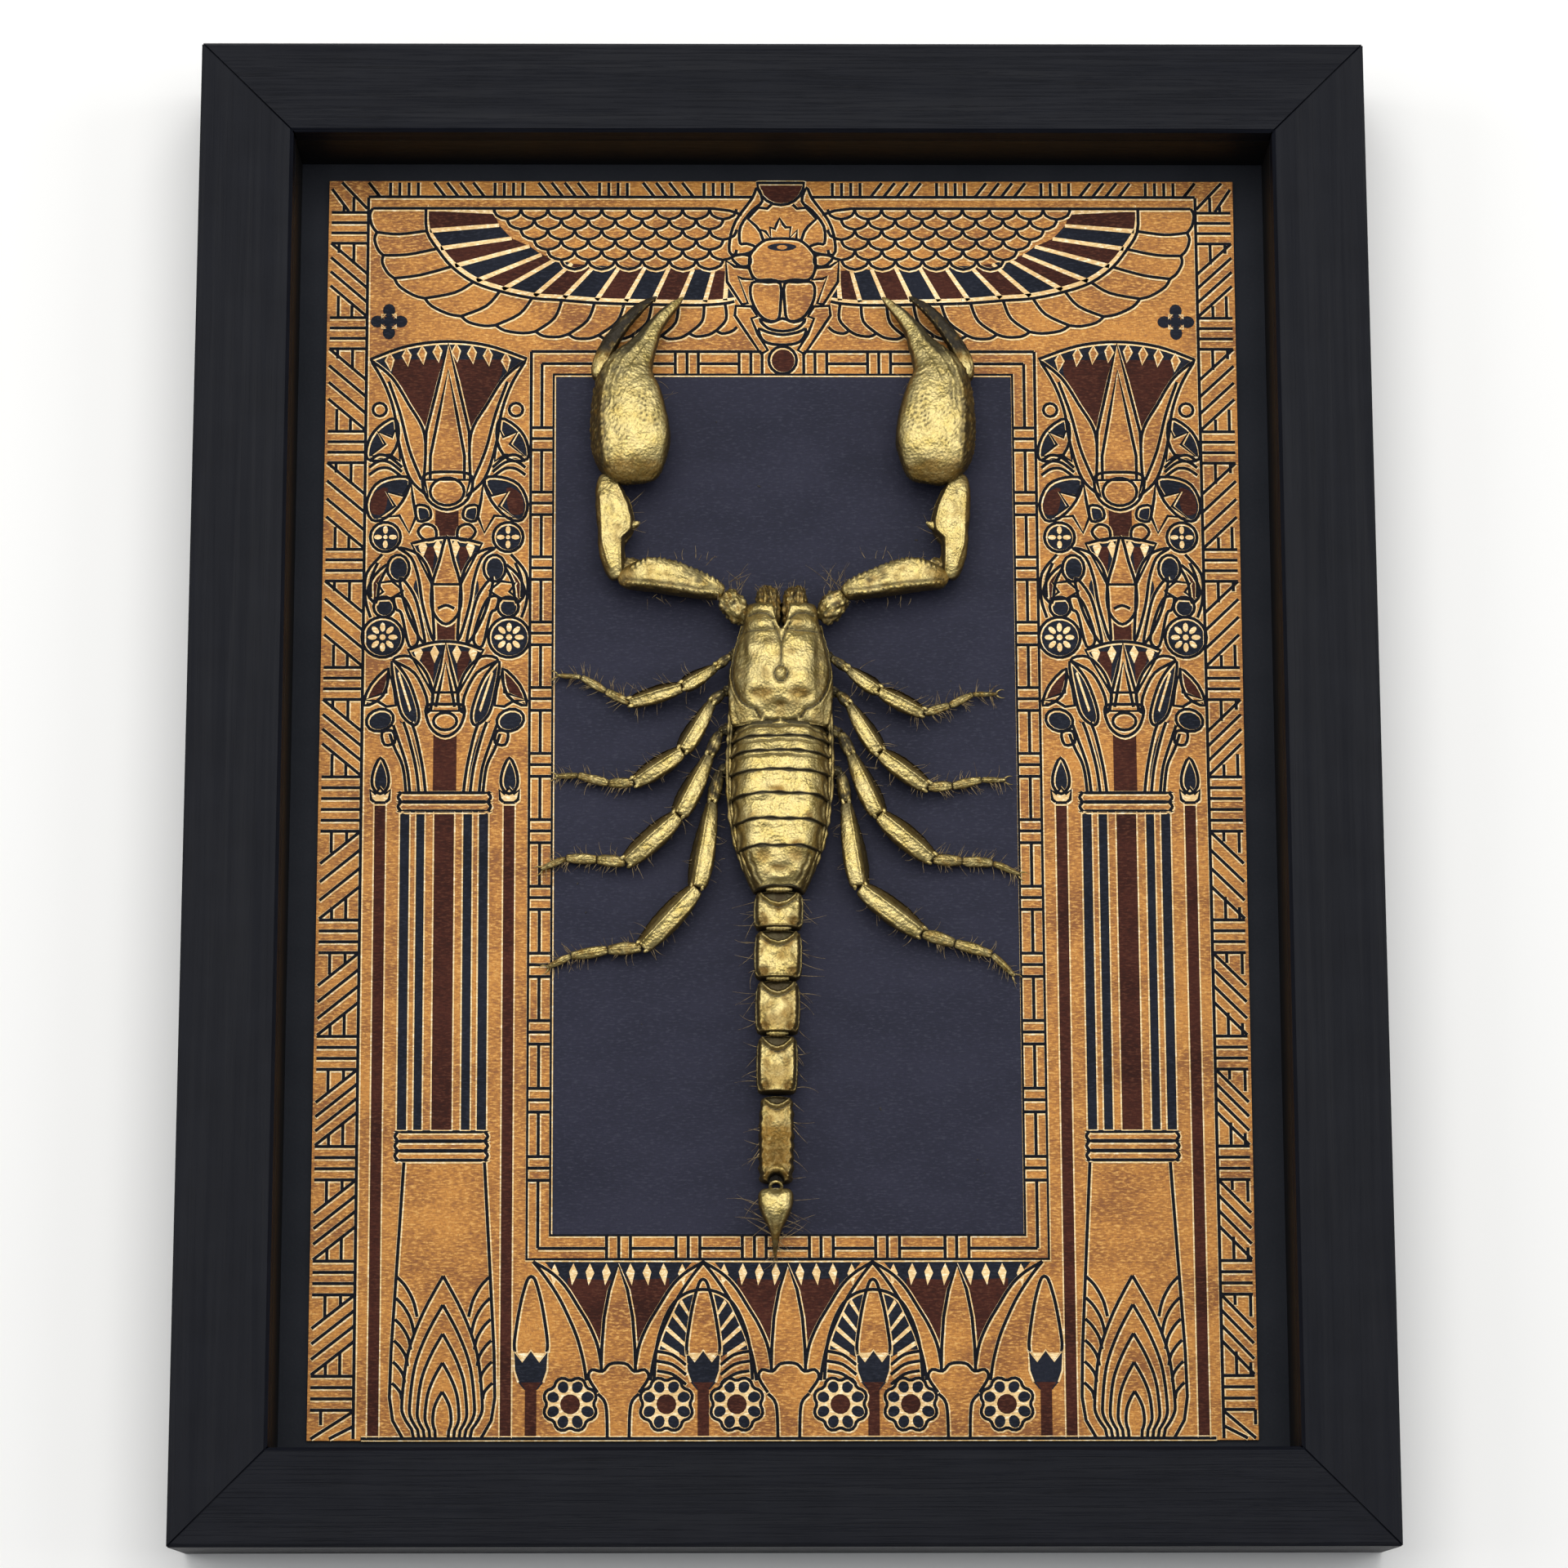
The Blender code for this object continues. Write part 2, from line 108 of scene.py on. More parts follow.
class Finish:
    """A Principled material and the nodes that feed it, on Object coordinates in metres."""

    def __init__(self, name, colour, roughness=0.5, metallic=0.0, specular=0.5):
        self.material = bpy.data.materials.new(name)
        self.material.use_nodes = True
        self.tree = self.material.node_tree
        self.shader = self.tree.nodes["Principled BSDF"]
        values = {"Base Color": (*colour, 1.0), "Roughness": roughness, "Metallic": metallic,
                  "Specular IOR Level": specular}
        for key, value in values.items():
            self.shader.inputs[key].default_value = value
        self.material.diffuse_color = (*colour, 1.0)
        self.place = self.tree.nodes.new("ShaderNodeTexCoord").outputs["Object"]

    def add(self, kind, values=None, **settings):
        added = self.tree.nodes.new(kind)
        for key, value in settings.items():
            setattr(added, key, value)
        for key, value in (values or {}).items():
            self.feed(value, added.inputs[key])
        return added

    def feed(self, value, socket):
        """Link an output to the socket, or set the socket's own value."""
        if isinstance(value, bpy.types.NodeSocket):
            self.tree.links.new(value, socket)
        else:
            socket.default_value = value

    def mapped(self, scale):
        return self.add("ShaderNodeMapping", {"Vector": self.place, "Scale": scale}).outputs[0]

    def noise(self, size_mm, detail=3.0, roughness=0.55, distortion=0.0):
        """Cloudy noise whose features are about size_mm across, given once or along X, Y and Z."""
        sizes = size_mm if isinstance(size_mm, tuple) else (size_mm,) * 3
        where = self.mapped(tuple(1.0 / (MM * size) for size in sizes))
        values = {"Vector": where, "Scale": 1.0, "Detail": detail, "Roughness": roughness, "Distortion": distortion}
        return self.add("ShaderNodeTexNoise", values).outputs["Fac"]

    def cells(self, size_mm):
        where = self.mapped((1.0 / (MM * size_mm),) * 3)
        return self.add("ShaderNodeTexVoronoi", {"Vector": where, "Scale": 1.0}).outputs["Distance"]

    def attribute(self, name):
        return self.add("ShaderNodeAttribute", attribute_name=name).outputs["Fac"]

    def ramp(self, share, low, high, start=0.0, end=1.0):
        """share taken from low..high to start..end, held at both ends."""
        values = {"Value": share, "From Min": low, "From Max": high, "To Min": start, "To Max": end}
        return self.add("ShaderNodeMapRange", values).outputs["Result"]

    def maths(self, operation, first, second):
        added = self.add("ShaderNodeMath", operation=operation)
        self.feed(first, added.inputs[0])
        self.feed(second, added.inputs[1])
        return added.outputs[0]

    def mix(self, share, first, second):
        """Colours first to second by share."""
        added = self.add("ShaderNodeMix", data_type="RGBA")
        self.feed(share, added.inputs["Factor"])
        for value, socket in ((first, added.inputs[6]), (second, added.inputs[7])):
            self.feed((*value, 1.0) if isinstance(value, tuple) else value, socket)
        return added.outputs[2]

    def colour(self, value):
        self.feed(value, self.shader.inputs["Base Color"])

    def rough(self, value):
        self.feed(value, self.shader.inputs["Roughness"])

    def metal(self, value):
        self.feed(value, self.shader.inputs["Metallic"])

    def bump(self, height, depth_mm, under=None):
        values = {"Height": height, "Distance": depth_mm * MM, "Strength": 1.0}
        if under is not None:
            values["Normal"] = under
        out = self.add("ShaderNodeBump", values).outputs["Normal"]
        self.feed(out, self.shader.inputs["Normal"])
        return out


def painted_wood(name, along_x):
    """Thin satin black over open grain that runs along the rail."""
    finish = Finish(name, (0.010, 0.011, 0.013), 0.45, specular=0.12)
    long, fine, coarse = 22.0, 0.35, 1.6
    pores = finish.noise((long, fine, fine) if along_x else (fine, long, fine), 4.0, 0.6)
    waves = finish.noise((70.0, coarse, coarse) if along_x else (coarse, 70.0, coarse), 3.0, 0.5, 0.6)
    mottle = finish.noise(9.0, 3.0)
    open_pores = finish.ramp(pores, 0.30, 0.46, 1.0, 0.0)
    base = finish.mix(finish.ramp(mottle, 0.3, 0.7), (0.0028, 0.0036, 0.0072), (0.0046, 0.0056, 0.0100))
    base = finish.mix(finish.maths("MULTIPLY", open_pores, 0.45 if along_x else 0.2), base, (0.0018, 0.0020, 0.0030))
    finish.colour(base)
    finish.rough(finish.ramp(waves, 0.3, 0.7, 0.46, 0.58))
    height = finish.maths("ADD", finish.maths("MULTIPLY", waves, 0.7), finish.ramp(pores, 0.30, 0.5))
    finish.bump(height, 0.035 if along_x else 0.015)
    return finish.material


def plain_finish(name, colour, roughness, grain, tones, rough, depth=0.0, cloud=None, fleck=None, spread=(0.3, 0.7),
                 metallic=0.0, specular=0.5):
    """A finish that drifts between two tones by cloud, and in roughness and height by its grain.

    grain and cloud each give a size in millimetres and the noise's detail. fleck gives a colour and its ramp.
    """
    finish = Finish(name, colour, roughness, metallic, specular)
    fine = finish.noise(*grain)
    drift = finish.noise(*cloud) if cloud else fine
    base = finish.mix(finish.ramp(drift, *spread), *tones)
    if fleck:
        base = finish.mix(finish.ramp(fine, *fleck[1:]), base, fleck[0])
    finish.colour(base)
    finish.rough(finish.ramp(fine, 0.3, 0.7, *rough))
    if depth:
        finish.bump(fine, depth)
    return finish.material


def spacer_finish():
    return plain_finish("black_spacer_board", (0.008, 0.007, 0.006), 0.55, ((6.0, 6.0, 0.7), 4.0),
                        ((0.0018, 0.0020, 0.0024), (0.0038, 0.0040, 0.0046)), (0.48, 0.62), 0.04, specular=0.25)


def navy_card_finish():
    return plain_finish("navy_mount_card", (0.014, 0.016, 0.022), 0.75, (0.5, 4.0),
                        ((0.011, 0.013, 0.018), (0.016, 0.018, 0.024)), (0.68, 0.85), 0.03, (14.0, 3.0),
                        ((0.035, 0.038, 0.046), 0.62, 0.72, 0.0, 0.3), specular=0.15)


def board_finish():
    return plain_finish("pressed_fibre_board", (0.20, 0.12, 0.065), 0.85, (1.1, 5.0, 0.7),
                        ((0.17, 0.10, 0.052), (0.25, 0.155, 0.085)), (0.75, 0.92), 0.12, (18.0, 3.0),
                        ((0.10, 0.055, 0.028), 0.55, 0.75), specular=0.2)


def steel_finish():
    return plain_finish("zinc_plated_steel", (0.55, 0.55, 0.54), 0.35, ((8.0, 0.3, 2.0), 3.0),
                        ((0.44, 0.44, 0.45), (0.62, 0.61, 0.58)), (0.28, 0.46), 0.02, (3.0, 3.0), metallic=1.0)


def print_finish(name, dark, light, fleck, roughness, metallic=0.0, specular=0.35):
    """Ink on paper with a woven look: short threads along X, crossed by finer ones, over a slow drift of tone."""
    finish = Finish(name, light, roughness, metallic, specular)
    cloud = finish.noise((16.0, 9.0, 9.0), 3.0)
    threads = finish.noise((0.95, 0.32, 1.0), 3.0, 0.6)
    weft = finish.noise((0.30, 0.55, 1.0), 2.0, 0.5)
    tone = finish.maths("ADD", finish.maths("MULTIPLY", cloud, 0.6), finish.maths("MULTIPLY", threads, 0.75))
    base = finish.mix(finish.ramp(tone, 0.53, 0.76), dark, light)
    base = finish.mix(finish.ramp(threads, 0.54, 0.68, 0.0, 0.7), base, fleck)
    finish.colour(finish.mix(finish.ramp(weft, 0.55, 0.70, 0.0, 0.5), base, dark))
    finish.rough(finish.ramp(threads, 0.3, 0.7, roughness - 0.07, roughness + 0.1))
    finish.bump(finish.maths("ADD", threads, finish.maths("MULTIPLY", weft, 0.6)), 0.05)
    return finish.material


def gold_paint_finish():
    """Pale gold paint over shell: brown where it is stained and where painted shade falls on steep sides, almost
    black where painted shade fills the creases.
    """
    finish = Finish("gold_paint_on_shell", (0.74, 0.61, 0.28), 0.34, 0.9)
    stain_and_brown_shade = finish.attribute("stain_and_brown_shade")
    shade = finish.attribute("shade")
    patches = finish.noise(2.6, 4.0, 0.6)
    grain = finish.noise(0.34, 3.0, 0.6)
    leather = finish.cells(0.55)
    base = finish.mix(finish.ramp(patches, 0.30, 0.66), (0.44, 0.335, 0.105), (0.62, 0.505, 0.225))
    base = finish.mix(finish.ramp(grain, 0.58, 0.78, 0.0, 0.5), base, (0.24, 0.165, 0.04))
    # The brown mix carries real stains and the painted shade of steep sides.
    stain_and_shade_share = finish.maths("MULTIPLY", stain_and_brown_shade, finish.ramp(finish.noise(0.9, 4.0, 0.65), 0.22, 0.52, 0.50, 1.0))
    base = finish.mix(stain_and_shade_share, base, (0.23, 0.125, 0.018))
    # The shade attribute is painted shade, mixed towards near-black; it also makes the paint rougher and less
    # metallic there.
    finish.colour(finish.mix(shade, base, (0.012, 0.009, 0.004)))
    dull = finish.maths("MAXIMUM", finish.maths("MULTIPLY", stain_and_shade_share, 0.5), shade)
    finish.rough(finish.maths("ADD", finish.ramp(patches, 0.3, 0.7, 0.32, 0.46),
            finish.maths("MULTIPLY", dull, 0.25)))
    finish.metal(finish.ramp(dull, 0.0, 1.0, 0.92, 0.35))
    first = finish.bump(leather, 0.09)
    finish.bump(grain, 0.09, first)
    return finish.material


# Making pieces


def place_piece(piece, finish=None, replaces=()):
    """Give the piece its finish and let it ride on the frame."""
    if finish is not None:
        piece.data.materials.clear()
        piece.data.materials.append(finish)
    if piece.data.name != piece.name:
        piece.data.name = piece.name
    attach(piece, "root")
    if replaces:
        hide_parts(*replaces)
    return piece


def select_only(pieces):
    bpy.ops.object.select_all(action="DESELECT")
    for piece in pieces:
        piece.select_set(True)
    bpy.context.view_layer.objects.active = pieces[0]


def join_as(name, pieces):
    select_only(pieces)
    if len(pieces) > 1:
        bpy.ops.object.join()
    pieces[0].name = name
    return pieces[0]


def shaped(add, place, **sizes):
    """A primitive made at the origin, its vertices then moved to their place."""
    bpy.ops.object.select_all(action="DESELECT")
    add(location=(0, 0, 0), **sizes)
    piece = bpy.context.object
    piece.data.transform(place)
    return piece


def make_curve(name, lines, depth, filled=False):
    """Lines as one curve: filled shapes that reach depth up and down, or square bars of that half width.

    A line is (points, closed), and a point is (x, y, z, radius), in millimetres.
    """
    curve = bpy.data.curves.new(name, "CURVE")
    if filled:
        curve.dimensions = "2D"
        curve.fill_mode = "BOTH"
        curve.extrude = depth * MM
    else:
        curve.dimensions = "3D"
        curve.bevel_depth = depth * MM
        curve.bevel_resolution = 0
        curve.use_fill_caps = True
    for points, closed in lines:
        spline = curve.splines.new("POLY")
        spline.points.add(len(points) - 1)
        spline.use_cyclic_u = closed
        for spot, (x, y, z, radius) in zip(spline.points, points):
            spot.co = (x * MM, y * MM, z * MM, 1)
            spot.radius = radius
    piece = bpy.data.objects.new(name, curve)
    bpy.context.scene.collection.objects.link(piece)
    return piece


def weld_plates(name, plates):
    """Filled shapes, each with where it goes, turned into one mesh whose edges are joined."""
    shapes = [shape for shape, _ in plates]
    select_only(shapes)
    bpy.ops.object.convert(target="MESH")
    for shape, place in plates:
        shape.data.transform(place)
    piece = join_as(name, shapes)
    bpy.ops.object.mode_set(mode="EDIT")
    bpy.ops.mesh.select_all(action="SELECT")
    bpy.ops.mesh.remove_doubles(threshold=1e-7)
    bpy.ops.mesh.normals_make_consistent(inside=False)
    bpy.ops.object.mode_set(mode="OBJECT")
    return piece


# Flat drawing on the print


def through(points, closed=False, steps=5):
    """A smooth line through the points."""
    count = len(points)
    line = []
    spans = count if closed else count - 1
    for i in range(spans):
        if closed:
            a, b, c, d = (Vector(points[(i + k) % count]) for k in (-1, 0, 1, 2))
        else:
            a, b, c, d = (Vector(points[min(max(i + k, 0), count - 1)]) for k in (-1, 0, 1, 2))
        for step in range(steps):
            t = step / steps
            curve = 2 * b + (c - a) * t + (2 * a - 5 * b + 4 * c - d) * t * t + (3 * b - a - 3 * c + d) * t ** 3
            line.append(tuple(curve / 2))
    if not closed:
        line.append(tuple(points[-1]))
    return line


def oval(x, y, across, up, count=16, turn=0.0):
    """Points round an ellipse, turned by turn degrees."""
    c, s = math.cos(math.radians(turn)), math.sin(math.radians(turn))
    points = []
    for i in range(count):
        angle = 2 * math.pi * i / count
        px, py = across * math.cos(angle), up * math.sin(angle)
        points.append((x + px * c - py * s, y + px * s + py * c))
    return points


def block(left, bottom, right, top):
    return [(left, bottom), (right, bottom), (right, top), (left, top)]


fields = []  # (ink, outline, level)
strokes = []  # (points, closed)
glints = []  # edges in pale foil alone


def mirrored(points):
    return [(2 * CENTRE_X - x, y) for x, y in points]


def sides(points, once):
    """The points on the left and mirrored on the right, or just as they are if once is set."""
    return [points] if once else [points, mirrored(points)]


def stroke(points, closed=False, once=False):
    strokes.extend((line, closed) for line in sides(points, once))


def glint(points, closed=True):
    glints.extend((line, closed) for line in sides(points, False))


def fill(ink, points, level=0, once=False):
    fields.extend((ink, outline, level) for outline in sides(points, once))


def field(ink, points, level=0, once=False):
    """A filled shape with a dark outline."""
    fill(ink, points, level, once)
    stroke(points, True, once)


def petal(ink, points, level=0, steps=3, once=False):
    """A filled, outlined shape with a smooth edge through the points."""
    field(ink, through(points, True, steps), level, once)


def about(x, points, side=1):
    """Points drawn about a middle line, set at x, and turned over where side is -1."""
    return [(x + side * a, b) for a, b in points]


def stroke_pair(x, points):
    """A line drawn about 0, set at x, and its mirror image."""
    for side in (1, -1):
        stroke(about(x, points, side))


def whole(x, half):
    """A closed outline from its right half, which starts on the middle line."""
    return about(x, half) + about(x, half[:0:-1], -1)


def arched(x, half):
    """An open line from its right half, which starts on the middle line."""
    return about(x, half[::-1]) + about(x, half[1:], -1)


def draw_strip_panel(left, right, top, bottom, rising):
    """Slanting lines between two rows of bars, with short uprights in the two free corners."""

    def at(share, y):
        return ((left + (right - left) * share) if rising else (right - (right - left) * share), y)

    drop = 5.9
    pitch = (top - bottom - drop - 0.2) / 3
    for k in range(4):
        y = top - drop - pitch * k
        stroke([at(0, max(y, bottom)), at(1, y + drop)])
    for share in (0.33, 0.68):
        stroke([at(share, top), at(share, top - drop * (1 - share))])
    low = top - drop - pitch * 3
    for share in (0.68, 0.36):
        stroke([at(share, bottom), at(share, low + drop * share)])


def draw_outer_strips():
    left, right = -83.6, -75.8
    bars = [(116, 3), (108.2, 3), (88.1, 3), (66.6, 3), (44.5, 3), (22.6, 3), (2.5, 5), (-23.5, 3), (-44.4, 3),
            (-64, 3), (-84.2, 3), (-104.3, 3)]
    low = -114.0
    ends = []
    for top, count in bars:
        bottom = top - (5.9 if count == 3 else 9.9)
        ends.append((top, bottom))
        if top > 113:
            continue
        for k in range(count + 1):
            y = top + (bottom - top) * k / count
            stroke([(left, y), (right, y)])
    for (_, top), (bottom, _) in zip(ends, ends[1:] + [(low - 9.0, 0)]):
        if bottom < low:
            for k in range(2):
                stroke([(left + 0.4 + 3.2 * k, low), (right, low + 3.6 - 2.6 * k)])
            stroke([(left + 2.1, top), (left + 2.1, low + 1.2)])
            continue
        if top > 110:
            for line in ([(-80.7, 113.4), (-76, 108.9)], [(-83.2, 112.7), (-79.4, 108.4)],
                         [(-80.3, 108.2), (-80.3, 109.4)], [(-78.5, 108.2), (-78.5, 111.2)]):
                stroke(line)
            continue
        draw_strip_panel(left, right, top, bottom, rising=top < 0)
    stroke([(right, 111.1), (right, low)])
    # The row along the top, most of it under the spacer's edge.
    base, edge = 111.2, 113.3
    for start in (-71.8, -52.6, -33.4, -14.2):
        for k in range(4):
            stroke([(start + 1.7 * k, base), (start + 1.7 * k, edge)])
        for k in range(4):
            stroke([(start - 1.9 - 2.4 * k, base), (start - 4.0 - 2.4 * k, edge)] if start > -70 else [(start - 1.9,
                    base), (start - 4.0, edge)])
    stroke([(right, base), (-5.2, base)])
    # The row of dashes along the bottom.
    stroke([(-74.5, -114.1), (CENTRE_X, -114.1)])


def draw_inner_border():
    out_left, mid_left, in_left = -45.75, -43.8, -41.65
    out_top, mid_top, in_top = 81.7, 79.4, 77.35
    out_low, mid_low, in_low = -83.9, -82, -79.7
    pitch = 12.1
    y_bars = [65.2 - pitch * k for k in range(12)]
    x_bars = [-29.6, -17.4, -5.75]
    stroke([(out_left, out_top), (-3.7, out_top)])
    stroke([(out_left, out_top), (out_left, out_low), (CENTRE_X, out_low)])
    edges = [mid_top] + [y for bar in y_bars for y in (bar + 2.1, bar - 2.1)] + [mid_low]
    for high, low in zip(edges[::2], edges[1::2]):
        stroke([(mid_left, high), (mid_left, low)])
    for bar in y_bars:
        for dy in (2.1, 0.05, -2.1):
            stroke([(out_left, bar + dy), (in_left, bar + dy)])
    for top, mid, bottom in ((out_top, mid_top, in_top), (in_low, mid_low, out_low)):
        centres = x_bars
        edges = [mid_left] + [x for bar in centres for x in (bar - 2.1, bar + 2.1)]
        for near, far in zip(edges[::2], edges[1::2]):
            stroke([(near, mid), (far, mid)])
        for bar in centres:
            for dx in (-2.1, 0.05, 2.1):
                stroke([(bar + dx, top), (bar + dx, bottom)])
    stroke([(-3.6, mid_low), (CENTRE_X, mid_low)])
    field("navy", block(in_left, in_low, 2 * CENTRE_X - in_left, in_top), 0, once=True)


def draw_wing():
    outer = [(-75, 109), (-74.2, 104.4), (-73, 100), (-70.9, 95.6), (-65.3, 91.8), (-58.6, 88.4), (-52.3, 86.7),
             (-45, 85.5), (-39, 85), (-33.5, 84.8), (-27.5, 84.7), (-22, 84.7), (-17, 85.2), (-12, 85.7), (-8.2,
                     86.4)]
    middle = [(-65.2, 109), (-65, 104.7), (-63, 101.3), (-60.3, 97.9), (-56.3, 95), (-51.5, 93.3), (-45.6, 92),
              (-40.2, 91.6), (-34.2, 91.1), (-28.8, 90.9), (-23.8, 90.8), (-18.9, 90.7), (-14.2, 90.7), (-10.4,
                      91), (-8.6, 91.4)]
    inner = [(-52.8, 108.3), (-51.8, 105.8), (-49.5, 103.3), (-46.2, 101.8), (-44, 100.2), (-41.2, 99.4),
             (-38.4, 98.5), (-34.2, 98.1),
             (-29.6, 98), (-25, 97.8), (-20.6, 97.8), (-16.2, 97.4), (-12.4, 97.4), (-10, 97)]
    # Coloured slots between the ribs.
    for k in range(len(inner) - 1):
        a, b, c, d = inner[k], inner[k + 1], middle[k + 1], middle[k]
        fill("maroon" if k % 2 == 0 else "ink", [a, b, c, d], 0)
    fill("ink", [inner[-1], (-8.4, 95.2), (-7, 92.2), middle[-1], middle[-2]], 0)
    # The light rib along the slots' foot, then a rib up each join.
    rib = through(middle, steps=3)
    lift = [(x + 0.45, y + 0.85) for x, y in rib]
    fill("foil", rib + lift[::-1], 1)
    stroke([(x - 0.05, y - 0.15) for x, y in rib])
    for k in range(len(inner)):
        (x0, y0), (x1, y1) = middle[k], inner[k]
        along = Vector((x1 - x0, y1 - y0)).normalized()
        side = Vector((-along.y, along.x)) * 0.42
        foot, head = Vector((x0, y0)) + along * 0.5, Vector((x1, y1))
        fill("foil", [tuple(foot - side), tuple(head - side * 0.8), tuple(head + side * 0.8), tuple(foot + side)], 1)
    # Plain feathers outside them.
    for k in range(1, len(outer) - 1):
        (x0, y0), (x1, y1) = middle[k], outer[k]
        bow = (1.3 if k < 4 else 1.0) * (1 if k > 3 else -0.4)
        stroke(through([(x0, y0), ((x0 + x1) / 2 + bow, (y0 + y1) / 2 - 0.5), (x1, y1)], steps=4))
    for (x0, y0), (x1, y1) in zip(outer, outer[1:]):
        dx, dy = x1 - x0, y1 - y0
        length = math.hypot(dx, dy)
        out = Vector((dy, -dx)) / length * 0.75
        first = (x0 + dx * 0.25 + out.x, y0 + dy * 0.25 + out.y)
        second = (x0 + dx * 0.7 + out.x * 0.9, y0 + dy * 0.7 + out.y * 0.9)
        stroke(through([(x0, y0), first, second, (x1, y1)], steps=3))
    stroke([(-75, 109), (-12.5, 109), (-9.5, 108.6), (-7.2, 107.8)])
    # Scales.
    rows = [(108.9, -52.3, -8.5), (106.95, -50.6, -8), (105, -48.8, -9), (103.05, -46.2, -8.9), (101.1, -43, -9.2),
            (99.3, -40.6, -9.6)]
    across, deep = 4.95, 1.95
    for row, (y, left, right) in enumerate(rows):
        x = -50.3 + (across / 2 if row % 2 else 0.0)
        while x < right - 0.8:
            if x > left + 0.6:
                half = across / 2
                arc = [(x - half, y), (x - half * 0.8, y - deep * 0.62), (x, y - deep),
                       (x + half * 0.8, y - deep * 0.62), (x + half, y)]
                stroke(through(arc, steps=2))
            x += across


def draw_scarab():
    field("maroon", [(x, min(y, 113.5)) for x, y in oval(-0.1, 113.9, 4.3, 4.2, 20)], 2, once=True)
    field("maroon", oval(0.1, 80.1, 2.55, 2.6, 18), 2, once=True)
    body = through([(0.1, 95), (-2, 95.4), (-4.6, 95.4), (-5.8, 97.2), (-5.7, 100.2), (-3.6, 102.6), (-1.6, 103.2),
                    (1.8, 103.2), (3.9, 102.6), (6, 100.2), (6.1, 97.2), (4.9, 95.4), (2.2, 95.4)], True, 3)
    field("gold", body, 3, once=True)
    petal("gold", [(-0.25, 94.6), (-2.6, 94.9), (-5.4, 94.8), (-5.6, 91.8), (-4, 88.6), (-2, 87.5), (-0.6, 88),
                   (-0.25, 90.5)], 3)
    lens = [(-2.6, 101.6), (-1.3, 102.3), (1.4, 102.3), (2.8, 101.7), (1.4, 101), (-1.2, 101)]
    fill("ink", through(lens, True, 3), 4, once=True)
    fill("gold", oval(0.1, 101.6, 0.95, 0.42, 10), 5, once=True)
    # Leafy crest on the head.
    crest = [(-3.3, 103), (-4, 105), (-2.9, 104.6), (-1.9, 103.2), (-2.1, 105.4), (-1.2, 105.1), (-0.9, 106),
             (-0.3, 107.1),
             (0.3, 106), (0.8, 105.4), (1.7, 105.4), (1.5, 103.4), (2.9, 104.9), (2.7, 103)]
    stroke(crest, once=True)
    head = [(-1.8, 109.8), (-2.6, 109), (-4.2, 109.2), (-5.2, 108.2), (-6.1, 107), (-4.6, 105.6), (-3.9, 104.6),
            (-3.3, 102.8)]
    stroke(head)
    # Front legs, up to the disc above.
    petal("gold", [(-4.4, 113), (-5.4, 110.9), (-8.4, 106.6), (-9.5, 102.8), (-9.2, 100.2), (-6, 100.5),
                   (-4.8, 101.6), (-6.4, 102.3),
                           (-7.6, 102.4), (-7.5, 105.6), (-5.4, 108.6), (-3.5, 110.4)], 2)
    petal("gold", [(-9.1, 99.6), (-7.4, 100.2), (-5.8, 99.8), (-5.9, 98.2), (-7.6, 98)], 2)
    field("gold", [(-10.2, 99), (-8.6, 97.9), (-6, 97.6), (-5.3, 95.4), (-7.3, 95.6), (-8, 96), (-6.2, 90.9),
                   (-7.3, 90.7), (-10, 95)], 2)
    field("gold", [(-8.4, 90.4), (-5.6, 90.3), (-4.5, 88.4), (-5.6, 88), (-4.4, 85), (-2.6, 82), (-3.8, 81.2),
                   (-6.4, 85.2), (-8.6, 88.6)], 2)
    # Tail plates under the wing cases.
    petal("gold", [(-4.1, 87.9), (-2.6, 86.2), (0.1, 85.6), (2.9, 86.2), (4.3, 87.9), (2.2, 87.3), (0.1, 88),
                   (-2, 87.3)], 2, once=True)
    petal("gold", [(-4.2, 86), (-2.6, 85.4), (0.1, 84.9), (2.9, 85.4), (4.4, 86), (3.7, 84), (1.8, 83.1),
                   (-1.6, 83.1), (-3.6, 84)], 2, once=True)


def draw_quatrefoil(x, y):
    for dx, dy in ((0, 2.1), (0, -2.1), (2.1, 0), (-2.1, 0)):
        fill("ink", oval(x + dx, y + dy, 1.15 if dy else 1.3, 1.15 if dx else 1.3, 12), 0)
    for dx, dy in ((1.15, 1.15), (1.15, -1.15), (-1.15, 1.15), (-1.15, -1.15)):
        glint([(x + dx * 0.55, y + dy * 1.15), (x + dx * 1.15, y + dy * 1.15), (x + dx * 1.15, y + dy * 0.55)])
    fill("ink", block(x - 0.9, y - 0.9, x + 0.9, y + 0.9), 1)


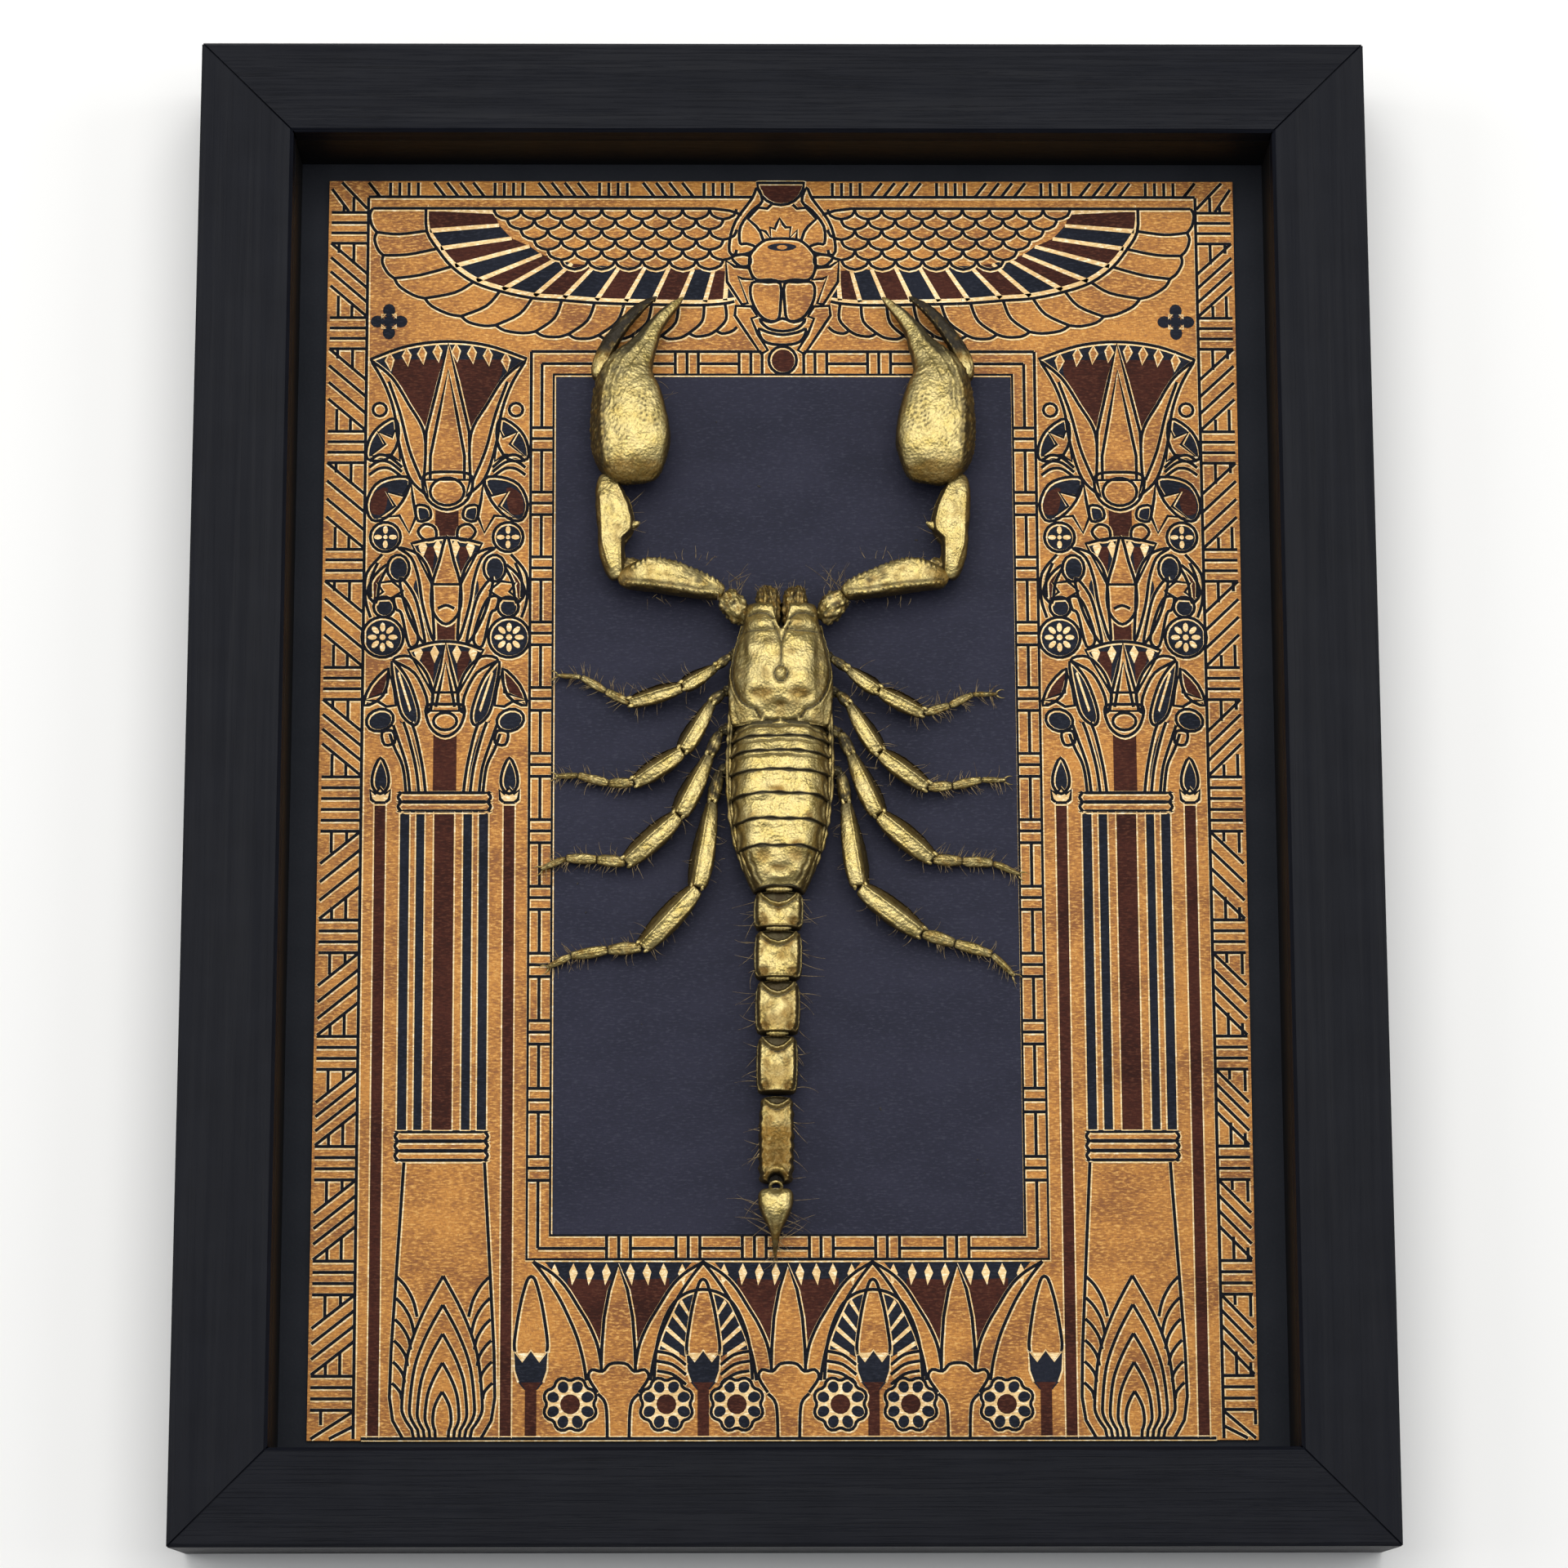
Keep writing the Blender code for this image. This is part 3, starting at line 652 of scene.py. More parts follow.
def draw_capital(x):
    """The tall lotus at the head of a column."""
    arch = through(about(x, [(-14.2, 80.2), (-7.5, 82.7), (0, 83.6), (7.3, 82.8), (14.4, 80.3)]))
    fill("ink", arch + [(x + 4.2, 66), (x - 4.2, 66)], 0)
    stroke(arch)
    fill("maroon", about(x, [(-10, 80.2), (10, 80.2), (9.8, 77.5), (4.2, 66), (-4.2, 66), (-10.2, 77.5)]), 1)
    for dx, top in ((-10.7, 81.6), (-7.6, 82.5), (-4.8, 82.9), (-2, 83.3), (1.4, 83.3), (4.3, 83), (7.2, 82.6),
                    (10.5, 81.6)):
        kite = [(x + dx, top - 0.2), (x + dx + 0.75, top - 1.5), (x + dx + 0.25, top - 3.6),
                (x + dx - 0.75, top - 1.7)]
        fill("gold", kite, 3)
        glint(kite)
    left = through(about(x, [(-14.2, 80.1), (-10.3, 76.8), (-7.2, 71.8), (-4.2, 66), (-4.2, 57.5)]))
    back = through(about(x, [(-3.4, 54.4), (-6.8, 57.8), (-8.9, 64.5), (-9.8, 70.4), (-11.6, 75.6), (-14.2, 80.1)]))
    vein = through(about(x, [(-10.8, 76), (-8.7, 70), (-6.9, 63), (-4.7, 57.5)]))
    for side in (1, -1):
        turned = [(x + side * (px - x), py) for px, py in left + back]
        field("gold", turned, 2)
        stroke([(x + side * (px - x), py) for px, py in vein])
    spear = [(0, 83.2), (1.7, 76), (3.9, 66.5), (4.1, 57.5)]
    field("gold", whole(x, spear), 3)
    inner = [(0, 78.2), (1.6, 70), (3.1, 62), (3.1, 57.6)]
    stroke(arched(x, inner))
    petal("gold", about(x, [(-4.3, 58.2), (-3.5, 53.8), (0, 51.9), (3.7, 53.8), (4.4, 58.2), (0, 59)]), 4, steps=4)
    field("gold", oval(x, 55.3, 3.1, 2.6, 18), 5)
    fill("maroon", block(x - 2.1, 46.5, x + 2.1, 52.6), 1)


def draw_column_flowers(x):
    """The flowers, rosettes and buds on both sides of the column's head."""
    for s in (-1, 1):

        def leaf(ink, points, level, outlined=True, s=s):
            (field if outlined else fill)(ink, about(x, points, s), level)

        def round_leaf(ink, points, level, steps=3, outlined=True, leaf=leaf):
            leaf(ink, through(points, True, steps), level, outlined)

        def twig(points, s=s):
            stroke(about(x, through(points, steps=4), s))

        stroke(about(x, oval(12.4, 70.7, 1.25, 1.25, 12), s), True)
        round_leaf("ink", [(9.5, 69), (12.6, 67.4), (14.4, 64.6), (14.5, 61.4), (11, 61.4), (9, 64.8)], 0)
        leaf("gold", [(9.2, 67.6), (10.1, 65.5), (12.7, 66.5), (11.3, 64.2), (13.9, 62), (10.4, 62.2), (8.6, 61),
                      (8.8, 64)], 1)
        for lift in (0, 1.4, 2.6):
            twig([(14.2, 58.4 + lift), (12.4, 59.6 + lift), (10.4, 59.6 + lift * 0.8), (8.2, 58.0 + lift * 0.7)])
        round_leaf("ink", [(6.8, 57.6), (9.8, 58), (13, 56.6), (14.6, 53), (13.6, 50), (11, 50.4), (8, 53.6)], 0)
        round_leaf("maroon", [(10.8, 56), (13.4, 54.8), (13.8, 51.4), (11.4, 51.4)], 1, outlined=False)
        leaf("gold", [(6.6, 57.4), (8, 54.5), (11, 55.2), (9.4, 52.6), (12.2, 50.4), (8.6, 50.8), (6.8, 47.6),
                      (5.6, 50.6), (6.2, 54)], 2)
        round_leaf("ink", [(3.4, 52.4), (5.6, 52.6), (5.2, 49.8), (3, 50.4)], 1)
        round_leaf("gold", [(2.2, 48.6), (4, 49.2), (5.2, 47.8), (4, 46.3), (2, 46.6)], 1)
        # Small rosette.
        leaf("ink", oval(11.1, 46.8, 2.75, 2.75, 18), 2)
        for dx, dy in ((1.35, 0), (-1.35, 0), (0, 1.35), (0, -1.35)):
            leaf("foil", oval(11.1 + dx, 46.8 + dy, 0.75 if dx else 0.45, 0.45 if dx else 0.75, 8), 3, outlined=False)
        leaf("foil", oval(11.1, 46.8, 0.4, 0.4, 8), 3, outlined=False)
        # Berries and the leaves that hold them.
        leaf("ink", oval(8.7, 41.0, 2.0, 2.5, 14), 3)
        leaf("ink", oval(11.2, 33.8, 1.9, 1.9, 14), 3)
        round_leaf("maroon", [(10.4, 41.8), (13, 39.6), (14.2, 36.4), (12.6, 34.6), (12, 38.4)], 0)
        leaf("gold", [(9.8, 38.6), (12.4, 38.2), (11.4, 36.6), (13.2, 35), (9.8, 35.4), (7.8, 36.8)], 1)
        twig([(11.6, 43.6), (14.4, 40), (14.6, 35.4), (13.6, 31.8)])
        twig([(12.4, 42), (13.6, 39), (13.6, 35.6)])
        # Middle lotus: long curved sepals with a dark gap between them.
        round_leaf("gold", [(8.8, 44.8), (5.2, 43.6), (2.9, 39.6), (2.4, 33), (2.2, 27.4), (4.2, 34), (5, 39),
                            (6.4, 43)], 2, steps=4)
        round_leaf("ink", [(5.2, 38.6), (5.9, 37.2), (4.6, 33.2), (2.9, 27.4), (3.9, 32.8)], 3, steps=4,
                   outlined=False)
        round_leaf("gold", [(8.4, 39.2), (5.8, 36), (4.4, 30.8), (3.8, 27), (5.6, 29.6), (7.4, 34)], 1, steps=4)
        round_leaf("gold", [(9.4, 35.6), (7.6, 35.4), (6, 32), (5, 27.6), (6.6, 26.6), (8, 32.4), (9, 33.4)], 2,
                   steps=4)
        # Large rosette.
        leaf("ink", oval(11.4, 28.2, 3.75, 3.75, 22), 2)
        for k in range(8):
            turn = 45 * k
            c, sn = math.cos(math.radians(turn)), math.sin(math.radians(turn))
            leaf("foil", oval(11.4 + 1.85 * c, 28.2 + 1.85 * sn, 0.85, 0.48, 8, turn), 3, outlined=False)
        leaf("foil", oval(11.4, 28.2, 0.55, 0.55, 8), 3, outlined=False)
        # Lowest lotus: blades, leaves and berries.
        round_leaf("maroon", [(10.2, 22.4), (13.4, 19.4), (14.6, 15.6), (11.2, 17.4)], 0)
        round_leaf("ink", [(9.7, 23.6), (7.5, 21.6), (5.9, 18.4), (4.7, 14), (5.4, 12), (7.6, 13.6), (8.7, 17)], 3,
                   steps=4)
        leaf("foil", [(8.3, 21.9), (8.6, 21.5), (6.4, 14.4), (6.1, 14.8)], 4, outlined=False)
        leaf("gold", [(10.4, 22.6), (10.6, 18), (14.6, 16.6), (12.2, 16.4), (10.6, 15.4), (8.9, 15.6), (9.2, 18.6)],
             2)
        round_leaf("gold", [(9.4, 24), (5.6, 21.6), (3.4, 17.2), (3.2, 14.2), (2.2, 17), (3.4, 21.4), (6.4, 24.6)], 2,
                   steps=4)
        leaf("ink", oval(11.7, 12.9, 2.5, 2.0, 14, 20 * s), 3)
        round_leaf("gold", [(9.4, 10.9), (11.3, 10.6), (10.8, 8.4), (9, 8.8)], 2)
        # Stems that fan out of the bands.
        for foot, top, height in ((3.4, 5.2, 12.6), (4.6, 6.6, 12.6), (6.2, 8.4, 12), (6.9, 9, 10.4)):
            twig([(foot, -0.3), (foot + 0.6, 4.4), (top, height - 2.6), (top + 0.9, height)])
        leaf("ink", through([(5.3, -0.3), (5, 4.8), (6.3, 9.4), (8.3, 13), (6.2, 10.4), (4.5, 4.6), (4.6, -0.3)],
                            False, 3), 1, outlined=False)
    # Fans and buds on the column's middle line.
    field("ink", through(about(x, [(-6.4, 45.6), (-3, 46.4), (0, 46.7), (3.2, 46.4), (6.4, 45.6)])) + [(x + 2.6, 38),
            (x - 2.6, 38)], 0)
    for dx in (-3.4, 3.4):
        fill("maroon", [(x + dx - 1.3, 45), (x + dx + 1.3, 45), (x + dx * 0.75, 40.2)], 1)
    for dx in (-4.3, -1.6, 1.6, 4.3):
        fill("foil", [(x + dx, 46.4), (x + dx + 0.8, 45), (x + dx, 42.9), (x + dx - 0.8, 45)], 3)
    fill("maroon", block(x - 1.6, 27.2, x + 1.6, 31.6), 1)
    bud = through(about(x, [(0, 46.9), (1.3, 42.4), (2.6, 37.6), (2.4, 33), (0, 30.6), (-2.4, 33), (-2.6, 37.6),
                            (-1.3, 42.4)]), True, 4)
    field("gold", bud, 4)
    stroke(through([(x - 1.5, 33.5), (x, 34.1), (x + 1.5, 33.5)], steps=4))
    field("ink", through(about(x, [(-6.8, 25.8), (-3.4, 27), (0, 27.4), (3.4, 27), (6.8, 25.8)])) + [(x + 2.4, 18),
            (x - 2.4, 18)], 0)
    for dx in (-3.4, 3.4):
        fill("maroon", [(x + dx - 1.5, 25.6), (x + dx + 1.5, 25.6), (x + dx * 0.7, 18.6)], 1)
    for dx in (-4.9, -2, 2, 4.9):
        fill("foil", [(x + dx, 26.8), (x + dx + 0.8, 25.4), (x + dx, 23.4), (x + dx - 0.8, 25.4)], 3)
    spear = [(0, 27.2), (1, 22.4), (2.3, 17.4), (2.5, 14.6)]
    field("gold", whole(x, spear), 4)
    inner = [(0, 23.6), (1, 19), (1.7, 15.3)]
    stroke(arched(x, inner))
    petal("gold", about(x, [(-3.4, 15.4), (-2.6, 11.6), (0, 9.9), (2.6, 11.6), (3.4, 15.4), (0, 15.8)]), 5, steps=4)
    stroke(oval(x, 12.7, 2.1, 1.6, 16), True)


def draw_column(x):
    """Shaft, bands and leafed foot under the flowers."""
    fill("maroon", block(x - 2.1, -0.3, x + 2.1, 10.4), 0)
    for left, right in ((x - 8.0, x - 6.1), (x - 5.1, x - 3.4), (x + 3.3, x + 5.1), (x + 6.1, x + 8.0),
                        (x - 1.9, x + 1.9)):
        stripe = block(left, -61.2, right, -3.8)
        fill("maroon" if left < x < right else "ink", stripe, 0)
        glint(stripe)
    for top, half, count in ((-0.4, 8.3, 2), (-61.4, 8.2, 3)):
        for k in range(count):
            y = top - 1.72 * k
            petal("gold", [(x - half, y - 0.8), (x - half + 0.6, y), (x - half + 1.2, y), (x + half - 1.2, y),
                           (x + half - 0.6, y), (x + half, y - 0.8),
                                   (x + half - 0.6, y - 1.6), (x + half - 1.2, y - 1.6), (x - half + 1.2,
                                y - 1.6), (x - half + 0.6, y - 1.6)], 2)
    foot = x + 0.55
    right_side = [(7.1, -66.8), (8.2, -86), (9, -100), (9.2, -108), (8.6, -112), (6.8, -114)]
    stroke_pair(foot, right_side)
    for k in range(5):
        top, half, widest = -86.8 - 5.05 * k, 7.0 - 1.35 * k, -108.6 - 0.75 * k
        drop = top - widest
        leaf = [(half * 0.70, -114), (half * 0.95, widest - (widest + 114.0) * 0.5), (half, widest),
                (half * 0.86, top - drop * 0.62), (half * 0.5, top - drop * 0.3), (0, top)]
        stroke_pair(foot, through(leaf, steps=4))
    for k in range(6):
        top, short = -87.0 - 3.7 * k, 1.0 - 0.12 * k
        near = [(8.1 + 0.14 * k, top), (6.6 + 0.3 * k, top - 1.6 * short),
                (5.2 + 0.42 * k, top - 4.2 * short), (4.5 + 0.52 * k, top - 7.0 * short)]
        stroke_pair(foot, through(near, steps=4))
    # Slim posts with bud tops.
    for post, foot_y in ((x - 11.5, -114), (x + 11.6, -114)):
        fill("maroon", block(post - 1.05, foot_y, post + 1.05, -2.2), 0)
        glint(block(post - 1.1, foot_y, post + 1.1, -2.2))
        petal("ink", [(post, 6), (post + 1.3, 3.4), (post + 1.4, 0.8), (post, -0.6), (post - 1.4, 0.8),
                      (post - 1.3, 3.4)], 1)
        cup = [(-1.8, 0.1), (-0.9, -0.6), (0, 0.5), (0.9, -0.6), (1.8, 0.1), (1.6, -1.6), (0.9, -2.2), (-0.9, -2.2),
               (-1.6, -1.6)]
        field("foil", about(post, cup), 2)


def draw_rosette(x, y):
    petals, radius = 8, 3.3
    rim = []
    for k in range(petals * 6):
        angle = 2 * math.pi * (k + 0.5) / (petals * 6)
        reach = 3.95 + 0.85 * abs(math.sin(petals / 2 * angle))
        rim.append((x + reach * math.cos(angle), y + reach * math.sin(angle)))
    field("foil", rim, 2)
    for k in range(petals):
        turn = 360 * (k + 0.5) / petals
        c, s = math.cos(math.radians(turn)), math.sin(math.radians(turn))
        fill("ink", oval(x + radius * c, y + radius * s, 1.15, 0.95, 12, turn), 3)
    fill("foil", oval(x, y, 2.1, 2.1, 16), 4)
    fill("maroon", oval(x, y, 1.75, 1.75, 14), 5)


def draw_bud(x, top):
    side = through([(0, top), (0.75, top - 0.8), (1.9, top - 5), (2.85, top - 11.0), (2.8, top - 13.2)], steps=4)
    bud = about(x, side[::-1], -1) + about(x, side[1:])
    fill("gold", bud, 3)
    stroke(bud)
    cup = [(2.2, -105.4), (2.9, -103.4), (3, -99.9), (1.5, -101.8), (0, -99.8), (-1.5, -101.8), (-3, -99.9),
           (-2.9, -103.4), (-2.2, -105.4)]
    fill("ink", about(x, cup) + [(x - 1.1, -106.7), (x + 1.1, -106.7)], 4)
    glint(about(x, cup), closed=False)
    for dx in (-1.5, 1.5):
        fill("foil", [(x + dx - 1.0, -100.3), (x + dx, -101.6), (x + dx + 1.0, -100.3)], 5)
    fill("maroon", about(x, [(-1, -114), (1, -114), (1, -106.5), (1.8, -105.4), (-1.8, -105.4), (-1, -106.5)]), 5)


def draw_frieze_fan(x, once=False):
    """One lotus of the row along the bottom."""
    fill("ink", about(x, [(-13, -84.3), (13, -84.3), (8.6, -89.5), (2.2, -100.8), (-2.2, -100.8), (-8.6, -89.5)]), 0,
         once=once)
    for s in (-1, 1):
        wedge = [(1.2, -87.6), (8.9, -87.2), (8.9, -88.6), (6.6, -93), (3, -100.6), (2.4, -95)]
        fill("maroon", about(x, wedge, s), 1, once=once)
        for dx, top in ((2.1, -84.6), (5, -84.6), (7.9, -84.6), (11.2, -84.7)):
            kite = about(x, ((dx, top), (dx + 0.75, top - 1.5), (dx + 0.25, top - 3.9), (dx - 0.75, top - 1.7)), s)
            fill("foil", kite, 3, once=once)
        sepal = through([(15, -84.3), (11.7, -86.3), (9.3, -88.7), (7, -92.3), (5.2, -95.3), (3.7, -98.8),
                         (3, -102.4)])
        back = through([(5.6, -105.1), (6.1, -101.8), (7.2, -97.7), (8.7, -94.1), (10.5, -90.5), (12.9, -86.9),
                        (15, -84.3)])
        fill("gold", about(x, sepal + back, s), 2, once=once)
        stroke(about(x, sepal, s), once=once)
        stroke(about(x, back, s), once=once)
        stroke(about(x, through([(3.6, -107.4), (2.2, -109.2), (1.9, -114)], steps=4), s), once=once)
    spear = [(0, -84.9), (1.6, -89.3), (2.5, -94.1), (2.9, -99.4), (3, -103.4)]
    fill("gold", whole(x, spear), 3, once=once)
    stroke(arched(x, spear), once=once)
    cap = [(-5.2, -104.6), (-4.6, -103.2), (-2.8, -103.5), (-1.6, -102.3), (0, -102), (1.6, -102.3), (2.8, -103.5),
           (4.6, -103.2), (5.3, -104.6), (3.6, -107.2), (0, -108.4), (-3.6, -107.2)]
    fill("gold", through(about(x, cap), True, 3), 4, once=once)
    stroke(through(about(x, cap[-1:] + cap[:9] + cap[9:10]), steps=3), once=once)


def draw_frieze_arch(x):
    """The pointed arch with pale reeds on a dark ground between two lotuses."""
    arch = through(about(x, [(-8.6, -105), (-8, -98.4), (-6.1, -93), (-3.6, -90.2), (0, -89.2), (3.6, -90.2),
            (6.1, -93), (8, -98.4), (8.6, -105)]))
    fill("gold", arch, 1)
    stroke(arch)
    for s in (-1, 1):
        ground = [(0, -89.5), (3.4, -90.5), (5.9, -93.3), (7.2, -96.5), (7.9, -99.9), (5.6, -99.6), (2.6, -101.4),
                  (2.6, -95)]
        fill("ink", about(x, ground, s), 2)
        for a, b, c, d in ((3.9, -91.3, 2.3, -93.9), (5.4, -93.3, 2.8, -96.6), (6.6, -95.8, 3, -99),
                           (7.4, -98.6, 4.2, -100.6)):
            reed = [(a - 0.15, b + 0.35), (a + 0.25, b - 0.3), (c, d - 0.4), (c, d + 0.35)]
            fill("foil", about(x, reed, s), 3)
        for low in (-101.2, -102.9, -104.6):
            stroke(about(x, through([(3, low - 1.2), (5.4, low + 0.6), (8.1, low + 1.2)], steps=4), s))
    draw_bud(x, -87.4)


def draw_frieze():
    draw_frieze_fan(-29.6)
    draw_frieze_fan(CENTRE_X, once=True)
    draw_frieze_arch(-14.75)
    draw_bud(-44.9, -86.9)
    for x in (-38, -21.2, -8.9):
        draw_rosette(x, -109.2)


def draw_print():
    draw_outer_strips()
    draw_inner_border()
    draw_wing()
    draw_scarab()
    draw_quatrefoil(-71.8, 87.4)
    draw_capital(-60.9)
    draw_column_flowers(-60.9)
    draw_column(-60.9)
    draw_frieze()


LEVEL = 0.018  # how far each layer of ink or foil stands over the one below
PLATE_SHARE = 0.45  # how much of its level a filled shape takes up, both up and down
RIBBON_THICKNESS = 0.03
# Widths and levels of the foil under the dark lines, of foil edges alone, and of the dark lines.
FOIL_WIDTH, FOIL_LEVEL = 0.90, 7.2
GLINT_WIDTH, GLINT_LEVEL = 0.34, 8.4
LINE_WIDTH, LINE_LEVEL = 0.58, 8.6
FOIL_ASIDE = (0.08, -0.12)


PANEL_LEFT, PANEL_RIGHT, PANEL_BOTTOM, PANEL_TOP = -82.2, 81.8, -114.5, 113.3  # where the drawing is cut off
SHRINK_X, SHRINK_Y, SET_RIGHT, LEAN = 0.9935, 0.9943, 0.2, 0.0039


def on_panel(points, dx=0.0, dy=0.0):
    """The picture as it lies on its panel: a touch small and out of square, and cut off at the panel's edges."""
    placed = []
    for x, y in points:
        across = CENTRE_X + SHRINK_X * (x - CENTRE_X) + SET_RIGHT - LEAN * y + dx
        up = (PANEL_BOTTOM if y < -113.8 else PANEL_TOP + 0.1 if y > 113.2 else SHRINK_Y * y) + dy
        placed.append((min(max(across, PANEL_LEFT), PANEL_RIGHT), min(max(up, PANEL_BOTTOM), PANEL_TOP)))
    return placed


def make_fields(name, ink, finish):
    """Every filled shape in one ink, each a thin closed plate at its own level."""
    plates = []
    for colour, points, level in fields:
        if colour == ink:
            outline = [(x, y, 0, 1) for x, y in on_panel(points)]
            shape = make_curve(name, [(outline, True)], LEVEL * PLATE_SHARE, filled=True)
            plates.append((shape, Matrix.Translation((0, 0, (PRINT_TOP + LEVEL * (level + 1)) * MM))))
    place_piece(weld_plates(name, plates), finish)


def make_lines(name, lines, width, level, finish, aside=(0.0, 0.0)):
    """The lines as flat ribbons, set a little to one side."""
    placed = [([(x, y, 0, 1) for x, y in on_panel(points, *aside)], closed) for points, closed in lines]
    piece = make_curve(name, placed, width / 2)
    select_only([piece])
    bpy.ops.object.convert(target="MESH")
    bpy.ops.object.shade_flat()
    flat = Matrix.Diagonal((1, 1, RIBBON_THICKNESS / width, 1))
    piece.data.transform(Matrix.Translation((0, 0, (PRINT_TOP + LEVEL * level) * MM)) @ flat)
    place_piece(piece, finish)


def dress_print():
    draw_print()
    gold = print_finish("gold_print_ink", (0.19, 0.060, 0.006), (0.49, 0.205, 0.030), (0.74, 0.43, 0.13), 0.45, 0.2)
    navy = print_finish("navy_print_ink", (0.012, 0.013, 0.028), (0.021, 0.0215, 0.042), (0.045, 0.047, 0.066), 0.66,
                        specular=0.22)
    maroon = print_finish("maroon_print_ink", (0.030, 0.008, 0.005), (0.068, 0.018, 0.011), (0.11, 0.045, 0.026),
                          0.62, specular=0.1)
    ink = print_finish("dark_print_ink", (0.003, 0.0035, 0.006), (0.007, 0.008, 0.013), (0.02, 0.02, 0.025), 0.65,
                       specular=0.08)
    slate = print_finish("slate_print_ink", (0.006, 0.008, 0.014), (0.014, 0.017, 0.028), (0.03, 0.033, 0.045), 0.65,
                         specular=0.1)
    foil = print_finish("pale_foil", (0.54, 0.33, 0.12), (0.80, 0.59, 0.29), (1.0, 0.92, 0.72), 0.38, 0.2)
    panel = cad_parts["print_panel"]
    panel.data.materials.clear()
    panel.data.materials.append(gold)
    for name, colour, finish in (("print_navy_fields", "navy", navy), ("print_maroon_fields", "maroon", maroon),
                                 ("print_dark_fields", "ink", slate), ("print_gold_fields", "gold",
                                gold), ("print_foil_fields", "foil", foil)):
        make_fields(name, colour, finish)
    make_lines("print_foil_edges", strokes, FOIL_WIDTH, FOIL_LEVEL, foil, FOIL_ASIDE)
    make_lines("print_foil_glints", glints, GLINT_WIDTH, GLINT_LEVEL, foil)
    make_lines("print_dark_lines", strokes, LINE_WIDTH, LINE_LEVEL, ink)


# The scorpion

# The body's middle line: its x at this y, and how far it drifts for each millimetre.
AXIS_X, AXIS_Y, AXIS_DRIFT = -0.45, 20.0, 0.0105


def axis_x(y):
    return AXIS_X - (AXIS_Y - y) * AXIS_DRIFT


def line_distance(u, v, points):
    """How far each (u, v) is from a line through the points."""
    best = np.full(u.shape, 1e9)
    for (x0, y0), (x1, y1) in zip(points, points[1:]):
        dx, dy = x1 - x0, y1 - y0
        share = np.clip(((u - x0) * dx + (v - y0) * dy) / (dx * dx + dy * dy + 1e-12), 0, 1)
        best = np.minimum(best, np.hypot(u - x0 - share * dx, v - y0 - share * dy))
    return best


def ease(value):
    """0 below 0, 1 above 1, smooth between."""
    value = np.clip(value, 0, 1)
    return value * value * (3 - 2 * value)


GRAIN_SEED = 3.7


def bell(away, width):
    """1 at 0 and next to nothing beyond twice the width."""
    return np.exp(-((away / width) ** 2))


